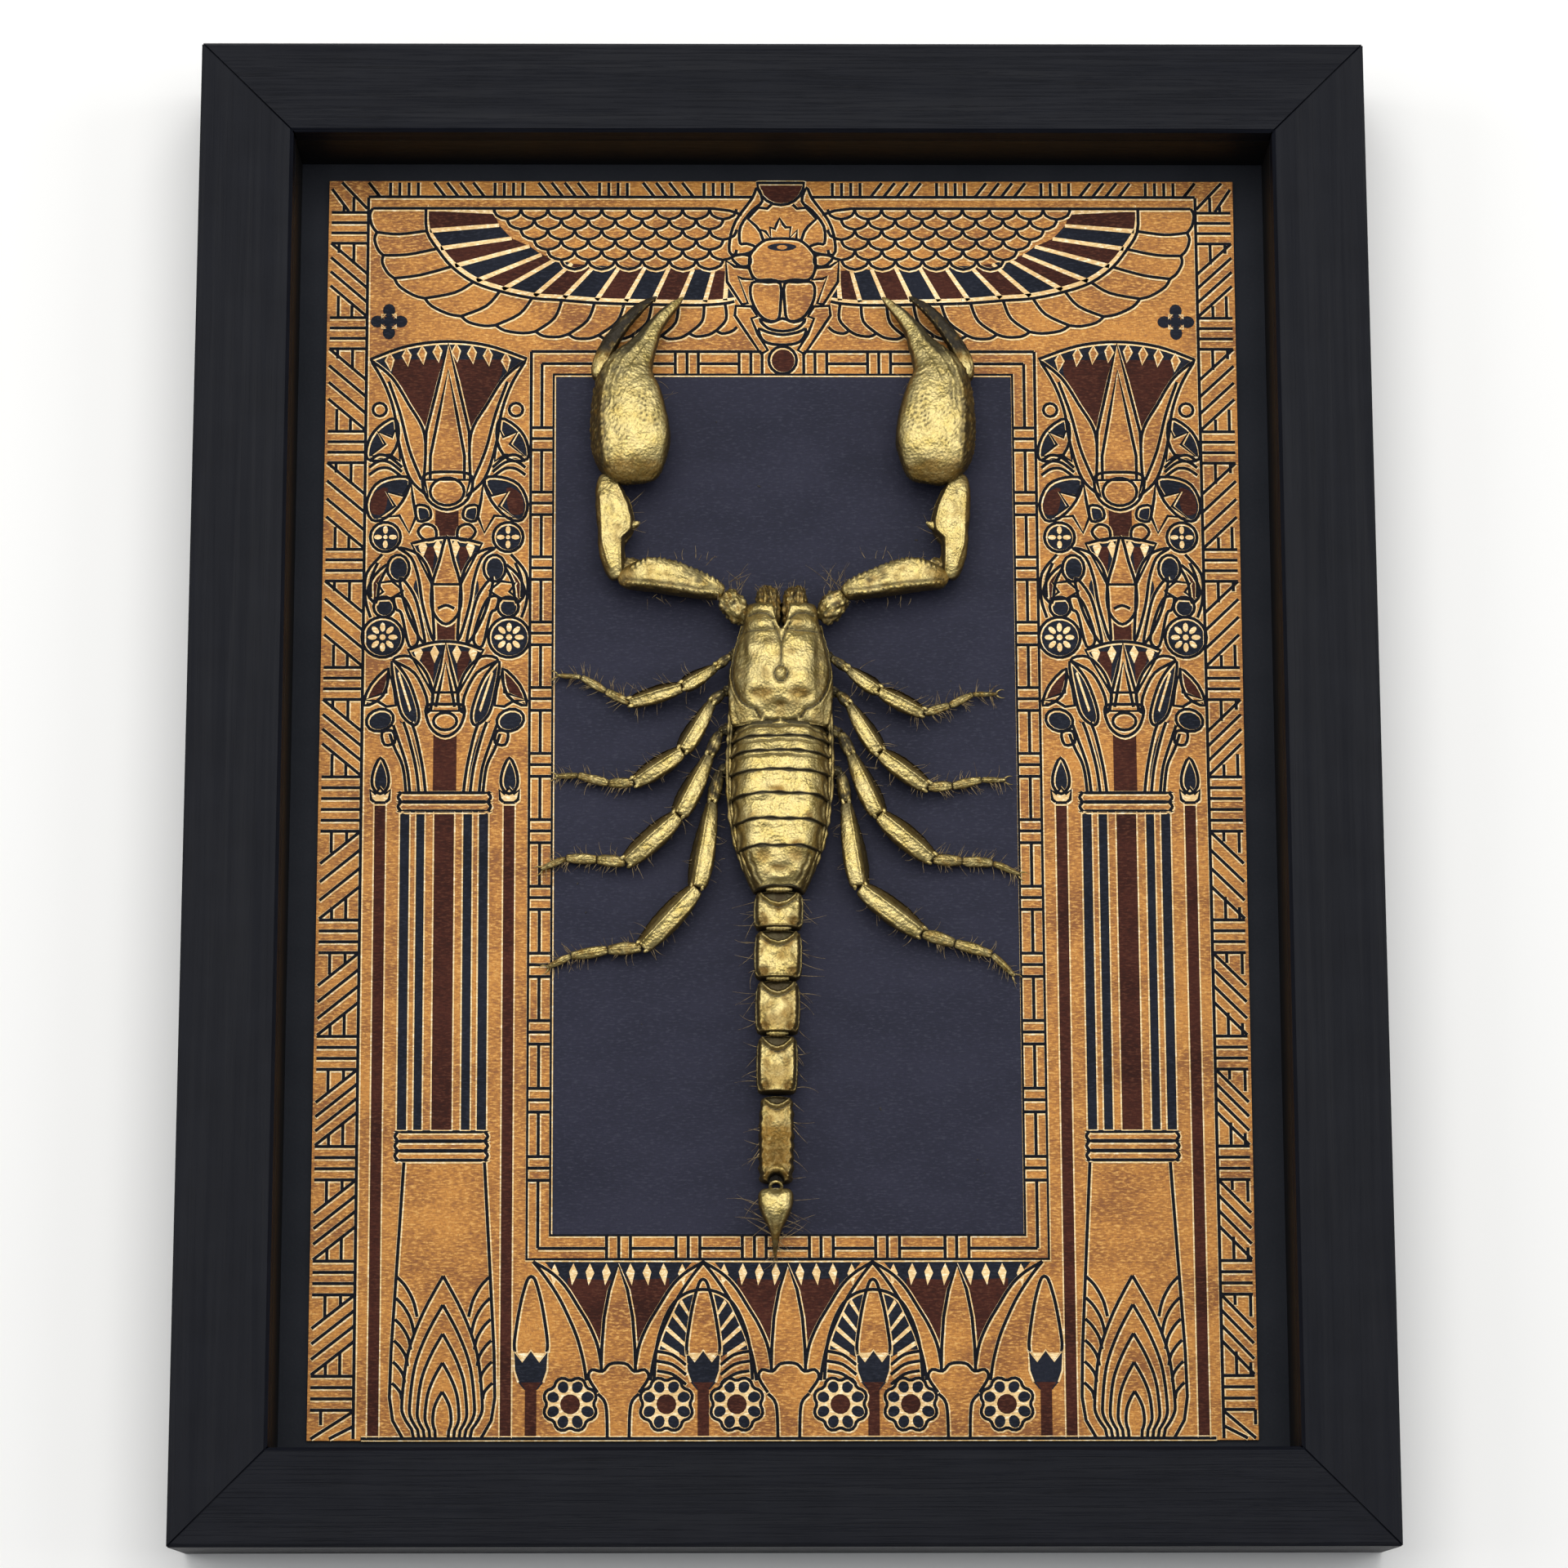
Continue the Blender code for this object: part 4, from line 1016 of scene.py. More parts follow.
class Clay:
    """A piece's vertices in millimetres while they are shaped, with how much stain and brown painted shade, and how
    much dark painted shade, each one takes.
    """

    def __init__(self, piece, side=0):
        self.piece, self.side = piece, side
        mesh = piece.data
        count = len(mesh.vertices)
        places, normals = np.empty(count * 3), np.empty(count * 3)
        mesh.vertices.foreach_get("co", places)
        mesh.vertices.foreach_get("normal", normals)
        self.p = places.reshape(-1, 3) / MM
        self.n = normals.reshape(-1, 3).copy()
        self.x, self.y, self.z = self.p[:, 0], self.p[:, 1], self.p[:, 2]
        self.top = ease(self.n[:, 2] * 1.6 + 0.1)
        self.stain_and_brown_shade = np.zeros(count)
        self.shade = np.zeros(count)

    @property
    def off(self):
        """How far out from the body's middle line, or on a limb from the picture's."""
        return self.side * self.x if self.side else np.abs(self.x - axis_x(self.y))

    def near(self, points, width):
        """1 on a line through the points, seen from above, and less away from it."""
        return bell(line_distance(self.off, self.y, points), width)

    def lift(self, share, height):
        self.z += share * height * self.top

    def swell(self, share, height):
        self.p += self.n * (share * height)[:, None]

    # Painted shade on faces turned up: mostly in grooves, hollows and joints, with a few dark marks of the shell's
    # own.
    def darken(self, share, strength=1.0):
        self.shade_and_dark_shell(share * strength * ease(self.top * 2))

    def shade_and_dark_shell(self, share):
        """Darken the sides too: painted shade, and in places the shell's own dark colour."""
        self.shade = np.maximum(self.shade, share)

    # Brown paint: real stains, and on some steep or far sides painted shade.
    def tint(self, share, strength=1.0):
        self.stain_and_brown_shade = np.maximum(self.stain_and_brown_shade, share * strength)

    def line(self, points, width, height, shade=0.0, limit=None):
        """A ridge, or a groove where height is below 0, along a line seen from above, with painted shade along it
        where shade is given.
        """
        share = self.near(points, width)
        self.lift(share if limit is None else share * limit, height)
        if shade:
            self.darken(share, shade)

    def spot(self, off, y, wide, tall, height=0.0, shade=0.0, stain_and_brown_shade=0.0):
        """A rounded mound or hollow, with painted shade and a stain mark where given, on both sides of the middle
        line.
        """
        share = np.exp(-(((self.off - off) / wide) ** 2) - ((self.y - y) / tall) ** 2)
        if height:
            self.lift(share, height)
        if shade:
            self.darken(share, shade)
        if stain_and_brown_shade:
            self.tint(ease(share * 1.4), stain_and_brown_shade)

    def cloud(self, size, seed=0.0):
        """Noise from -1 to 1 with features about size across."""
        scaled = (self.p / size + seed).tolist()
        return np.fromiter((noise.noise(spot) for spot in scaled), float, len(scaled))

    def grain(self, size, height, share=1.0):
        """Small rounded granules over the surface."""
        scaled = (self.p / size + GRAIN_SEED).tolist()
        away = np.fromiter((noise.voronoi(spot)[0][0] for spot in scaled), float, len(scaled))
        self.swell(ease(1.0 - away * 1.5) * share, height)

    def finish(self, lean=0.20):
        """Write the shape back, with painted shade on steep sides and in creases, and a painted highlight that
        lightens convex edges.
        """
        mesh = self.piece.data
        mesh.vertices.foreach_set("co", (self.p * MM).ravel())
        mesh.update()
        count = len(mesh.vertices)
        normals, edges = np.empty(count * 3), np.empty(len(mesh.edges) * 2, dtype=np.int64)
        mesh.vertices.foreach_get("normal", normals)
        mesh.edges.foreach_get("vertices", edges)
        normals, (a, b) = normals.reshape(-1, 3), edges.reshape(-1, 2).T
        run = self.p[b] - self.p[a]
        run /= np.maximum(np.linalg.norm(run, axis=1), 1e-6)[:, None]
        rise = np.bincount(a, (run * normals[a]).sum(1), count) - np.bincount(b, (run * normals[b]).sum(1), count)
        rise /= np.maximum(np.bincount(a, minlength=count) + np.bincount(b, minlength=count), 1)
        # Painted shade: steep sides and hollows go dark, and convex edges get a painted highlight.
        steep = 1 - ease((normals[:, 2] - lean) / 0.50)
        convex_highlight = ease((-rise - 0.08) / 0.3)
        self.shade = np.maximum.reduce([self.shade, ease((rise - 0.045) / 0.24) * 0.97,
                steep * 0.82]) * (1 - 0.65 * convex_highlight)
        # Steep sides also turn brown, as painted shade.
        self.stain_and_brown_shade = np.maximum(self.stain_and_brown_shade, (1 - ease((normals[:, 2] - 0.35) / 0.45)) * 0.8) * (1 - 0.7 * convex_highlight)
        for name, values in (("stain_and_brown_shade", self.stain_and_brown_shade), ("shade", self.shade)):
            layer = mesh.attributes.new(name, "FLOAT", "POINT")
            layer.data.foreach_set("value", np.clip(values, 0, 1).astype(np.float32))
        mesh.update()
        return self.piece


def loft(name, rings, sides, levels):
    """Oval rings bridged into one closed skin and smoothed. A ring is (centre, along, half width, half height)."""
    piece = bpy.data.objects.new(name, bpy.data.meshes.new(name))
    bpy.context.scene.collection.objects.link(piece)
    select_only([piece])
    bpy.ops.object.mode_set(mode="EDIT")
    for centre, along, across, high in rings:
        side = along.cross(UP).normalized()
        axes = Matrix((side, side.cross(along), along)).transposed()
        axes.col[2] = side.cross(side.cross(along))
        middle = Vector(centre) * MM
        bpy.ops.mesh.primitive_circle_add(vertices=sides, radius=across * MM, location=middle,
                rotation=axes.to_euler())
        bpy.ops.transform.resize(value=(1, high / across, 1), orient_type="GLOBAL", orient_matrix=axes,
                                 orient_matrix_type="GLOBAL", center_override=middle)
    bpy.ops.mesh.select_all(action="SELECT")
    bpy.ops.mesh.bridge_edge_loops()
    bpy.ops.mesh.select_all(action="SELECT")
    bpy.ops.mesh.fill_holes(sides=0)
    bpy.ops.mesh.normals_make_consistent(inside=False)
    bpy.ops.object.mode_set(mode="OBJECT")
    bpy.ops.object.modifier_add(type="SUBSURF")
    smooth = piece.modifiers[-1]
    smooth.levels = smooth.render_levels = levels
    bpy.ops.object.modifier_apply(modifier=smooth.name)
    bpy.ops.object.shade_smooth()
    return piece


def trunk_rings(stations, places, spread=1.0):
    """Rings across the body at these places along Y; a station is (y, half width, low, high) above the print."""
    ys = [-station[0] for station in stations]
    rings = []
    for y in places:
        half, low, high = (float(np.interp(-y, ys, [station[k] for station in stations])) for k in (1, 2, 3))
        centre = (axis_x(y), y, PRINT_TOP + (low + high) / 2)
        rings.append((centre, BACKWARD, half * spread, (high - low) / 2 * spread))
    return rings


def box_out(clay, power, middle, half=1.0, tall=1.0):
    """Push oval sections out to rounded boxes about the body's middle line."""
    across, up = clay.x - axis_x(clay.y), clay.z - middle
    angle = np.arctan2(up / tall, across / half)
    reach = (np.abs(np.cos(angle)) ** power + np.abs(np.sin(angle)) ** power) ** (-1 / power)
    clay.p[:, 0] = axis_x(clay.y) + across * reach
    clay.p[:, 2] = middle + up * reach


def square_up(clay, stations, power):
    """Turn the body's oval sections into rounded boxes."""
    ys = [-station[0] for station in stations]
    half, low, high = (np.interp(-clay.y, ys, [station[k] for station in stations]) for k in (1, 2, 3))
    box_out(clay, power, PRINT_TOP + (low + high) / 2, half, (high - low) / 2)


CARAPACE = [(32.7, 5.9, 2.6, 7.6), (32.2, 6.3, 2.0, 8.4), (31.0, 6.5, 1.6, 8.9), (29.0, 6.7, 1.2, 9.2),
            (27.4, 7.0, 1.0, 9.4), (24.0, 8.2, 0.7, 9.9),
            (20.0, 8.95, 0.5, 10.3), (16.5, 9.1, 0.5, 10.3), (13.0, 9.0, 0.6, 9.6), (10.4, 8.5, 0.8, 9.2)]
MESOSOMA = [(11.4, 8.5, 0.9, 9.2), (8.0, 9.0, 0.5, 9.9), (5.0, 9.2, 0.4, 10.3), (0.0, 9.15, 0.4, 10.5),
            (-5.0, 8.7, 0.4, 10.3),
            (-9.0, 8.1, 0.4, 9.9), (-12.5, 7.3, 0.5, 9.4), (-15.4, 6.4, 0.6, 8.8), (-17.6, 5.0, 0.7, 8.2), (-18.9,
                    4.0, 0.9, 7.6)]


def spaced(start, end, count):
    return [start + (end - start) * k / (count - 1) for k in range(count)]


def make_carapace(finish):
    rings = trunk_rings(CARAPACE, [32.75, 32.6, 32.1] + spaced(31.2, 11.6, 9) + [10.7, 10.3, 10.2])
    piece = loft("scorpion_carapace_shell", rings, 28, 3)
    clay = Clay(piece)
    square_up(clay, CARAPACE, 2.7)
    off, y = clay.off.copy(), clay.y.copy()
    # The two front lobes and the deep notch between them, with painted shade in the notch.
    half = np.interp(y, [27.2, 28.4, 30.0, 32.0, 34.0], [-0.4, 0.45, 1.0, 1.3, 1.7])
    notch = ease((half - off) / 0.45 + 0.5) * (y > 26.5)
    clay.lift(notch, -5.0)
    clay.darken(ease((half + 0.15 - off) / 0.3 + 0.5) * (y > 27.0), 1.0)
    clay.spot(3.7, 31.5, 2.2, 0.9, 0.35)
    clay.spot(3.9, 28.8, 2.4, 1.0, 0.45)
    clay.line([(1.5, 29.5), (2.6, 30.4), (4.2, 30.6), (5.7, 30.2)], 0.26, -0.55, 0.75)
    clay.line([(0.9, 27.5), (3.5, 27.25), (6.9, 27.2)], 0.24, -0.40, 0.55)
    clay.line([(1.5, 28.6), (0.8, 27.0), (0.05, 25.0)], 0.20, -0.45, 0.7)
    clay.line([(0.0, 25.2), (0.0, 20.8)], 0.22, -0.35, 0.5)
    clay.spot(0.0, 27.0, 0.7, 0.8, 0.35)
    # The eye mound, with painted shade in the groove round it.
    ring = np.hypot(off / 1.10, (y - 19.1) / 1.42)
    clay.lift(bell(ring - 1.0, 0.22), -0.45)
    clay.darken(bell(ring - 1.0, 0.17) * ease((20.6 - y) / 1.5), 0.7)
    clay.lift(ease((1.05 - ring) / 0.5), 0.55)
    clay.spot(0.62, 19.5, 0.38, 0.42, 0.35)
    clay.spot(0.0, 18.2, 0.5, 0.5, 0.0, 0.5)
    # Sides fall away to a rim, with painted shade in the groove inside it.
    clay.lift(ease((6.8 - off) / 1.1) * ease((27.5 - y) / 3) * ease((y - 12) / 3), 0.55)
    rim = [(6.7, 28.4), (7.9, 24.0), (8.65, 20.0), (8.75, 16.5), (8.6, 13.0), (8.2, 10.8)]
    clay.swell(clay.near(rim, 0.3) * (clay.n[:, 2] > 0), 0.45)
    keel = [(6.7, 28.6), (7.6, 25.5), (8.5, 22.0), (8.65, 19.0), (8.0, 16.4), (6.9, 14.3), (5.6, 13.2), (4.4, 12.8),
            (3.7, 11.6)]
    clay.line(keel, 0.30, -0.75, 0.85)
    clay.line([(u + 0.42, v + 0.05) for u, v in keel], 0.22, 0.45)
    clay.line([(6.2, 27.0), (6.5, 24.0), (6.1, 21.0), (6.3, 18.2), (5.5, 15.8), (4.0, 14.6)], 0.7, -0.25, 0.12)
    # Hind border, dimple and slots, with painted shade in the dimple and slots.
    clay.spot(3.3, 15.7, 1.9, 0.9, -0.30, 0.0, 0.85)
    clay.spot(2.0, 14.2, 1.2, 0.6, 0.15, 0.0, 0.45)
    clay.spot(0.0, 13.7, 0.95, 0.6, -0.45, 0.35, 0.8)
    clay.spot(0.2, 12.3, 0.8, 0.8, 0.0, 0.0, 0.5)
    clay.line([(0.45, 11.05), (1.4, 10.8), (2.7, 11.0)], 0.34, -0.60, 0.98)
    clay.line([(3.2, 12.0), (3.6, 11.0), (4.4, 10.7), (8.4, 10.2)], 0.2, -0.25, 0.35)
    # Leathery unevenness, rougher on the flanks.
    clay.swell(clay.cloud(1.1, 2.0), 0.08)
    clay.lift(clay.cloud(2.7, 12.0), 0.38)
    clay.tint(ease(-0.25 + 2.0 * clay.cloud(2.2, 21.0)), 0.5)
    flank = ease((off - 5.2) / 1.6)
    clay.grain(0.6, 0.14, flank * 0.8 + 0.12)
    clay.tint(ease(flank * (0.55 + clay.cloud(1.6, 9.0))), 0.5)
    # Painted shade on the sunken flanks.
    sunk = ease((off - 6.0) / 0.8) * ease((26.0 - y) / 3.0) * ease((y - 13.0) / 3.0)
    clay.shade_and_dark_shell(sunk * ease(0.85 + clay.cloud(0.9, 5.0)) * 0.50)
    place_piece(clay.finish(), finish, ["scorpion_carapace"])


PLATE_EDGES = [10.4, 8.0, 5.3, 1.8, -2.4, -6.9, -11.6, -18.5]
TRUNK_MIDDLE = 5.2  # how high the trunk's middle line runs over the print


def trunk_half(back):
    """The trunk's half width, this far back from the middle of the picture."""
    return np.interp(back, [-station[0] for station in MESOSOMA], [station[1] for station in MESOSOMA])


def make_tergite(k, front, rear):
    """Back plate number k, between two places along the body."""
    length = front - rear
    places = [front + 0.9, front + 0.25, front - 0.25, front - length * 0.35, front - length * 0.7, rear + 0.28,
              rear + 0.06, rear - 0.06]
    sizes = [0.86, 0.925, 0.945, 0.965, 0.985, 1.008, 1.002, 0.93]
    rings = [trunk_rings(MESOSOMA, [y], size)[0] for y, size in zip(places, sizes)]
    plate = loft(f"tergite_{k + 1}", rings, 20, 3)
    clay = Clay(plate)
    half = trunk_half(-clay.y)
    box_out(clay, 4.4, PRINT_TOP + TRUNK_MIDDLE)
    off, y = clay.off.copy(), clay.y.copy()
    side = np.clip(off / half, 0, 1)
    # Painted shade along the rear and front edges, where the plates overlap.
    clay.darken(ease((0.36 - np.abs(y - rear - 0.05)) / 0.2) * 0.95)
    clay.darken(ease((y - front + 0.42) / 0.3), 0.9)
    if k in (1, 2):
        clay.line([(0, front - 0.75), (5.0, front - 0.85), (8.8, front - 0.7)], 0.2, -0.25, 0.45)
    if k == 0:
        clay.line([(0, front - 0.55), (4.0, front - 0.5), (8.6, front - 0.9)], 0.2, -0.35, 0.8)
    if 3 <= k <= 5:
        clay.line([(0, front - length * 0.33), (6.4, front - length * 0.3)], 0.5, -0.10)
        band = ease((1.3 - np.abs(y - rear - 0.4)) / 1.0) * ease((half - off) / 2.0)
        clay.tint(band * ease(0.22 + 2.0 * clay.cloud(2.3, 3.0 * k)), 0.90)
    if k == 6:
        clay.spot(2.9, -13.2, 1.3, 1.2, -0.35, 0.0, 0.7)
        clay.spot(0.0, -15.3, 1.5, 0.6, -0.45, 0.1, 0.8)
        clay.spot(2.2, -16.1, 0.7, 0.5, 0.3, 0.0, 0.4)
        clay.spot(0.0, -17.0, 2.6, 0.5, 0.35)
        clay.line([(5.2, -12.8), (5.0, -14.0), (4.2, -15.2), (4.1, -16.2), (3.1, -17.6)], 0.25, -0.35, 0.65)
        clay.line([(5.9, -13.2), (5.3, -14.8), (4.8, -16.4), (3.8, -17.8)], 0.22, -0.15, 0.4)
    # A crescent groove near each side end, with painted shade in it.
    rim = [(float(trunk_half(-v)) * (0.94 - 0.09 * math.sin(math.pi * i / 4)), v)
           for i, v in enumerate(spaced(front + 0.3, rear + 0.1, 5))]
    clay.line(rim, 0.26, -0.40, 0.60)
    clay.swell(clay.cloud(1.3, 5.0 + k), 0.07)
    clay.lift(clay.cloud(2.3, 9.0 + 3.0 * k), 0.30)
    clay.grain(0.55, 0.06, ease((side - 0.6) / 0.3) + 0.15)
    clay.tint(ease((side - 0.62) / 0.3) * ease(0.5 + clay.cloud(1.4, 2.0)), 0.6)
    # Painted shade on the plate's side ends.
    clay.shade_and_dark_shell(ease((side - 0.74) / 0.16) * ease(0.65 + clay.cloud(1.1, 7.0)) * 0.45)
    clay.p[:, 1] += 0.16 * np.sin(clay.x * 1.3 + 2.0 * k) * np.cos(clay.x * 0.55 + k)
    # The edges run back towards the tail at the sides.
    clay.p[:, 1] -= 0.85 * side ** 2.2
    return clay.finish()


def make_tergites(finish):
    """Seven back plates, each overlapping the next."""
    plates = [make_tergite(k, *edges) for k, edges in enumerate(zip(PLATE_EDGES, PLATE_EDGES[1:]))]
    place_piece(join_as("scorpion_back_plates", plates), finish, ["scorpion_mesosoma"])


def make_side_folds(finish):
    """Folds of soft skin along both flanks."""
    folds = []
    path = [(8.6, 17.0), (9.0, 13.5), (9.35, 9.5), (9.5, 5.0), (9.4, 0.0), (9.05, -4.5), (8.4, -8.8), (7.5, -12.2),
            (6.2, -15.2), (5.0, -17.4)]
    for side in (-1, 1):
        for out, high, thick in ((-0.60, 5.8, 0.40), (-0.15, 4.4, 0.42), (-0.35, 2.6, 0.5)):
            points = [Vector((axis_x(y) + side * (off + out), y, PRINT_TOP + high)) for off, y in path]
            rings = limb_rings([(*p, 2 * thick, 2.6 * thick) for p in points])
            fold = loft("fold", rings, 8, 2)
            clay = Clay(fold)
            clay.swell(np.sin(clay.y * 2 * math.pi / 2.3 + side + out * 5), 0.10)
            clay.swell(clay.cloud(0.8, out), 0.12)
            clay.tint(ease(0.6 + clay.cloud(1.0, 4.0)), 0.45)
            # Painted shade where each fold pinches in at a plate joint.
            for edge in PLATE_EDGES:
                pinch = bell(clay.y - edge + 0.9, 0.38)
                clay.swell(pinch, -0.22)
                clay.shade_and_dark_shell(pinch * 0.9)
            clay.shade_and_dark_shell(ease(0.25 + 1.6 * clay.cloud(0.8, 6.0)) * 0.55)
            folds.append(clay.finish())
    place_piece(join_as("scorpion_side_folds", folds), finish)


def limb_rings(stations):
    """Rings along a limb. A station is (x, y, z, width, thickness) in millimetres."""
    points = [Vector(station[:3]) for station in stations]
    rings = []
    for k, station in enumerate(stations):
        along = (points[min(k + 1, len(points) - 1)] - points[max(k - 1, 0)]).normalized()
        rings.append((points[k], along, station[3] / 2, station[4] / 2))
    return rings


def above_print(stations, side=1):
    return [(side * x, y, PRINT_TOP + z, width, thick) for x, y, z, width, thick in stations]


TAIL_LOW = 0.45  # how high the tail's underside is over the print
TAIL_SEGMENTS = [  # front, rear, half width, half width of the back panel, top at the front and at the rear
    (-19.4, -25.9, 4.45, 3.6, 7.7, 8.1),
    (-26.3, -34.8, 4.3, 3.45, 7.7, 7.9),
    (-35.2, -44.4, 4.0, 3.2, 7.5, 7.7),
    (-44.9, -54.9, 3.7, 2.9, 7.3, 7.3),
    (-55.5, -70.6, 3.1, 2.6, 6.9, 6.4),
]


def make_joint_skin(front, high, panel):
    """The ribbed skin that shows in the joint in front of a tail segment."""
    place = Vector((axis_x(front), front + 0.35, PRINT_TOP + high - 1.1)) * MM
    lens = shaped(bpy.ops.mesh.primitive_uv_sphere_add,
                  Matrix.Translation(place) @ Matrix.Diagonal((panel * 0.66, 0.62, 0.75, 1)),
                  segments=48, ring_count=16, radius=MM)
    bpy.ops.object.shade_smooth()
    clay = Clay(lens)
    ribs = np.sin(clay.x * 2 * math.pi / 0.62)
    clay.swell(ribs, 0.05)
    # Painted shade between the ribs.
    clay.darken(ease(0.3 - ribs), 0.25)
    return clay.finish()


def make_tail_segment(k, front, rear, half, panel, high_front, high_rear):
    """A keeled segment with a socket at its front."""
    length = front - rear
    last = k == len(TAIL_SEGMENTS) - 1
    shares = [0.0, 0.03, 0.10, 0.25, 0.5, 0.75, 0.90, 0.97, 1.0]
    widths = [0.70, 0.84, 0.93, 0.99, 1.0, 0.985, 0.95, 0.88, 0.72]
    rings = []
    for share, width in zip(shares, widths):
        y = front - length * share
        high = high_front + (high_rear - high_front) * share
        squeeze = 0.80 if share in (0.0, 1.0) else 1.0
        centre = (axis_x(y), y, PRINT_TOP + (TAIL_LOW + high) / 2)
        rings.append((centre, BACKWARD, half * width, (high - TAIL_LOW) / 2 * squeeze))
    segment = loft(f"tail_{k + 1}", rings, 20, 3)
    clay = Clay(segment)
    tall = (high_front - TAIL_LOW) / 2
    box_out(clay, 3.2, PRINT_TOP + TAIL_LOW + tall, half, tall)
    off, y = clay.off.copy(), clay.y.copy()
    dip = 1.5 if last else 2.0
    inner = panel * 0.90
    curve = [(0.0, front - 0.25 - dip), (inner * 0.45, front - 0.25 - dip * 0.80),
             (inner * 0.8, front - 0.25 - dip * 0.38), (inner, front - 0.15)]
    reach_y = np.interp(off, [p[0] for p in curve], [p[1] for p in curve])
    socket = ease((y - reach_y) / 0.5) * ease((inner + 0.1 - off) / 0.5)
    clay.lift(socket, -1.7)
    # Painted shade in the socket.
    clay.darken(ease((y - reach_y - 0.2) / 0.3) * ease((inner - off) / 0.4), 0.85)
    clay.line(curve, 0.34, 0.42)
    clay.line([(u, v - 0.75) for u, v in curve[:-1]] + [(panel - 0.15, front - 1.3)], 0.30, -0.30, 0.45)
    # Back keels, the furrows outside them with painted shade in them, and the flank keels.
    teeth = 0.7 + 0.3 * np.sin(2 * math.pi * y / (0.85 if k > 2 else 1.1))
    keel = [(panel - 0.15, front - 1.2), (panel, front - length * 0.4), (panel - 0.12, rear + length * 0.16),
            (panel - 0.5, rear + 0.7)]
    clay.line(keel, 0.32, 0.30 if k < 3 else 0.42, limit=teeth)
    clay.line([(u + 0.40, v) for u, v in keel], 0.27, -0.85, 0.95)
    clay.line([(half - 0.12, front - 1.0), (half, front - length * 0.5), (half - 0.25, rear + 0.8)], 0.28, 0.25,
              limit=teeth)
    clay.spot(0.0, front - length * 0.55, panel * 0.45, length * 0.30, -0.30)
    clay.spot(panel - 0.9, rear + 1.1, 1.0, 0.9, -0.2, 0.4, 1.0)
    clay.tint(ease(-0.1 + 2.0 * clay.cloud(1.9, 11.0 + k)) * ease((panel - off) / 0.6), 0.8)
    # Painted shade along the rear edge, at the joint.
    clay.darken(ease((rear + 0.42 - y) / 0.3), 0.9)
    clay.line([(0, rear + 0.35), (panel * 0.7, rear + 0.3)], 0.18, 0.18)
    if k >= 2:
        clay.spot(0.9, rear + 2.1, 1.7, 1.3, 0.0, 0.0, 0.65)
    if last:
        clay.tint(ease((y + 68.6) / 0.9) * ease((-59.8 - y) / 1.6) * ease(1.1 + clay.cloud(1.2)), 1.0)
        clay.spot(0.0, -65.6, 1.8, 2.6, -0.2, 0.35)
        clay.p[:, 0] += np.sign(clay.x - axis_x(y)) * ease((off - 1.6) / 0.8) * (0.10 + 0.12 * clay.cloud(3.0,
                2.0)) * np.sin(2 * math.pi * y / 1.9)
        socket = np.hypot(off / 1.55, (y + 70.5) / 1.75)
        clay.lift(bell(socket - 1.35, 0.3), 0.5)
        clay.lift(ease((1.05 - socket) / 0.25), -2.6)
        # Painted shade in the socket for the bulb.
        clay.darken(ease((1.05 - socket) / 0.15), 1.0)
    clay.swell(clay.cloud(0.9, 3.0 + k), 0.07)
    clay.lift(clay.cloud(1.9, 14.0 + k), 0.30)
    if k > 1:
        clay.tint(ease(0.5 + 1.6 * clay.cloud(2.4, 5.0 + k)), 0.6)
    clay.grain(0.6, 0.10, ease((off - panel * 0.75) / 0.6) + 0.1)
    return clay.finish()


def make_tail(finish):
    pieces = [make_tail_segment(k, *segment) for k, segment in enumerate(TAIL_SEGMENTS)]
    pieces += [make_joint_skin(front, high, panel) for front, _, _, panel, high, _ in TAIL_SEGMENTS[:-1]]
    # The socket ring in front of the bulb.
    place = Vector((axis_x(-71), -71.2, PRINT_TOP + 4.2)) * MM
    ring = shaped(bpy.ops.mesh.primitive_torus_add, Matrix.Translation(place) @ Matrix.Rotation(math.radians(35), 4,
            "X"),
                  major_segments=32, minor_segments=10, major_radius=1.0 * MM, minor_radius=0.3 * MM)
    bpy.ops.object.shade_smooth()
    pieces.append(Clay(ring).finish())
    place_piece(join_as("scorpion_tail_shell", pieces), finish, ["scorpion_tail"])


def make_telson(finish):
    bulb = [(-71.5, 1.9, 1.8, 5.6), (-71.9, 2.9, 1.2, 6.5), (-72.9, 3.2, 0.7, 6.9), (-74.3, 3.1, 0.45, 7.0),
            (-75.8, 2.6, 0.5, 6.9),
            (-77.2, 1.9, 0.7, 6.3), (-78.5, 1.05, 1.2, 5.6), (-80.2, 0.62, 1.9, 4.6), (-82.0, 0.42, 2.0, 3.5), (-83.9,
                    0.12, 2.0, 2.4)]
    rings = trunk_rings(bulb, [station[0] for station in bulb])
    clay = Clay(loft("scorpion_sting_bulb", rings, 20, 2))
    square_up(clay, bulb, 3.8)
    # A hollow at the front, with painted shade in it.
    clay.spot(0.0, -71.9, 0.9, 0.7, -0.9, 0.5)
    clay.line([(1.2, -76.0), (0.7, -78.0), (0.35, -81.0)], 0.22, -0.2, 0.4)
    clay.tint(ease((-76.6 - clay.y) / 2.5) * ease(0.8 + clay.cloud(0.9)), 0.9)
    clay.shade_and_dark_shell(ease((-79.4 - clay.y) / 2.0) * ease(0.8 + clay.cloud(0.7)) * 0.75)
    clay.swell(clay.cloud(0.8), 0.08)
    place_piece(clay.finish(), finish, ["scorpion_telson"])


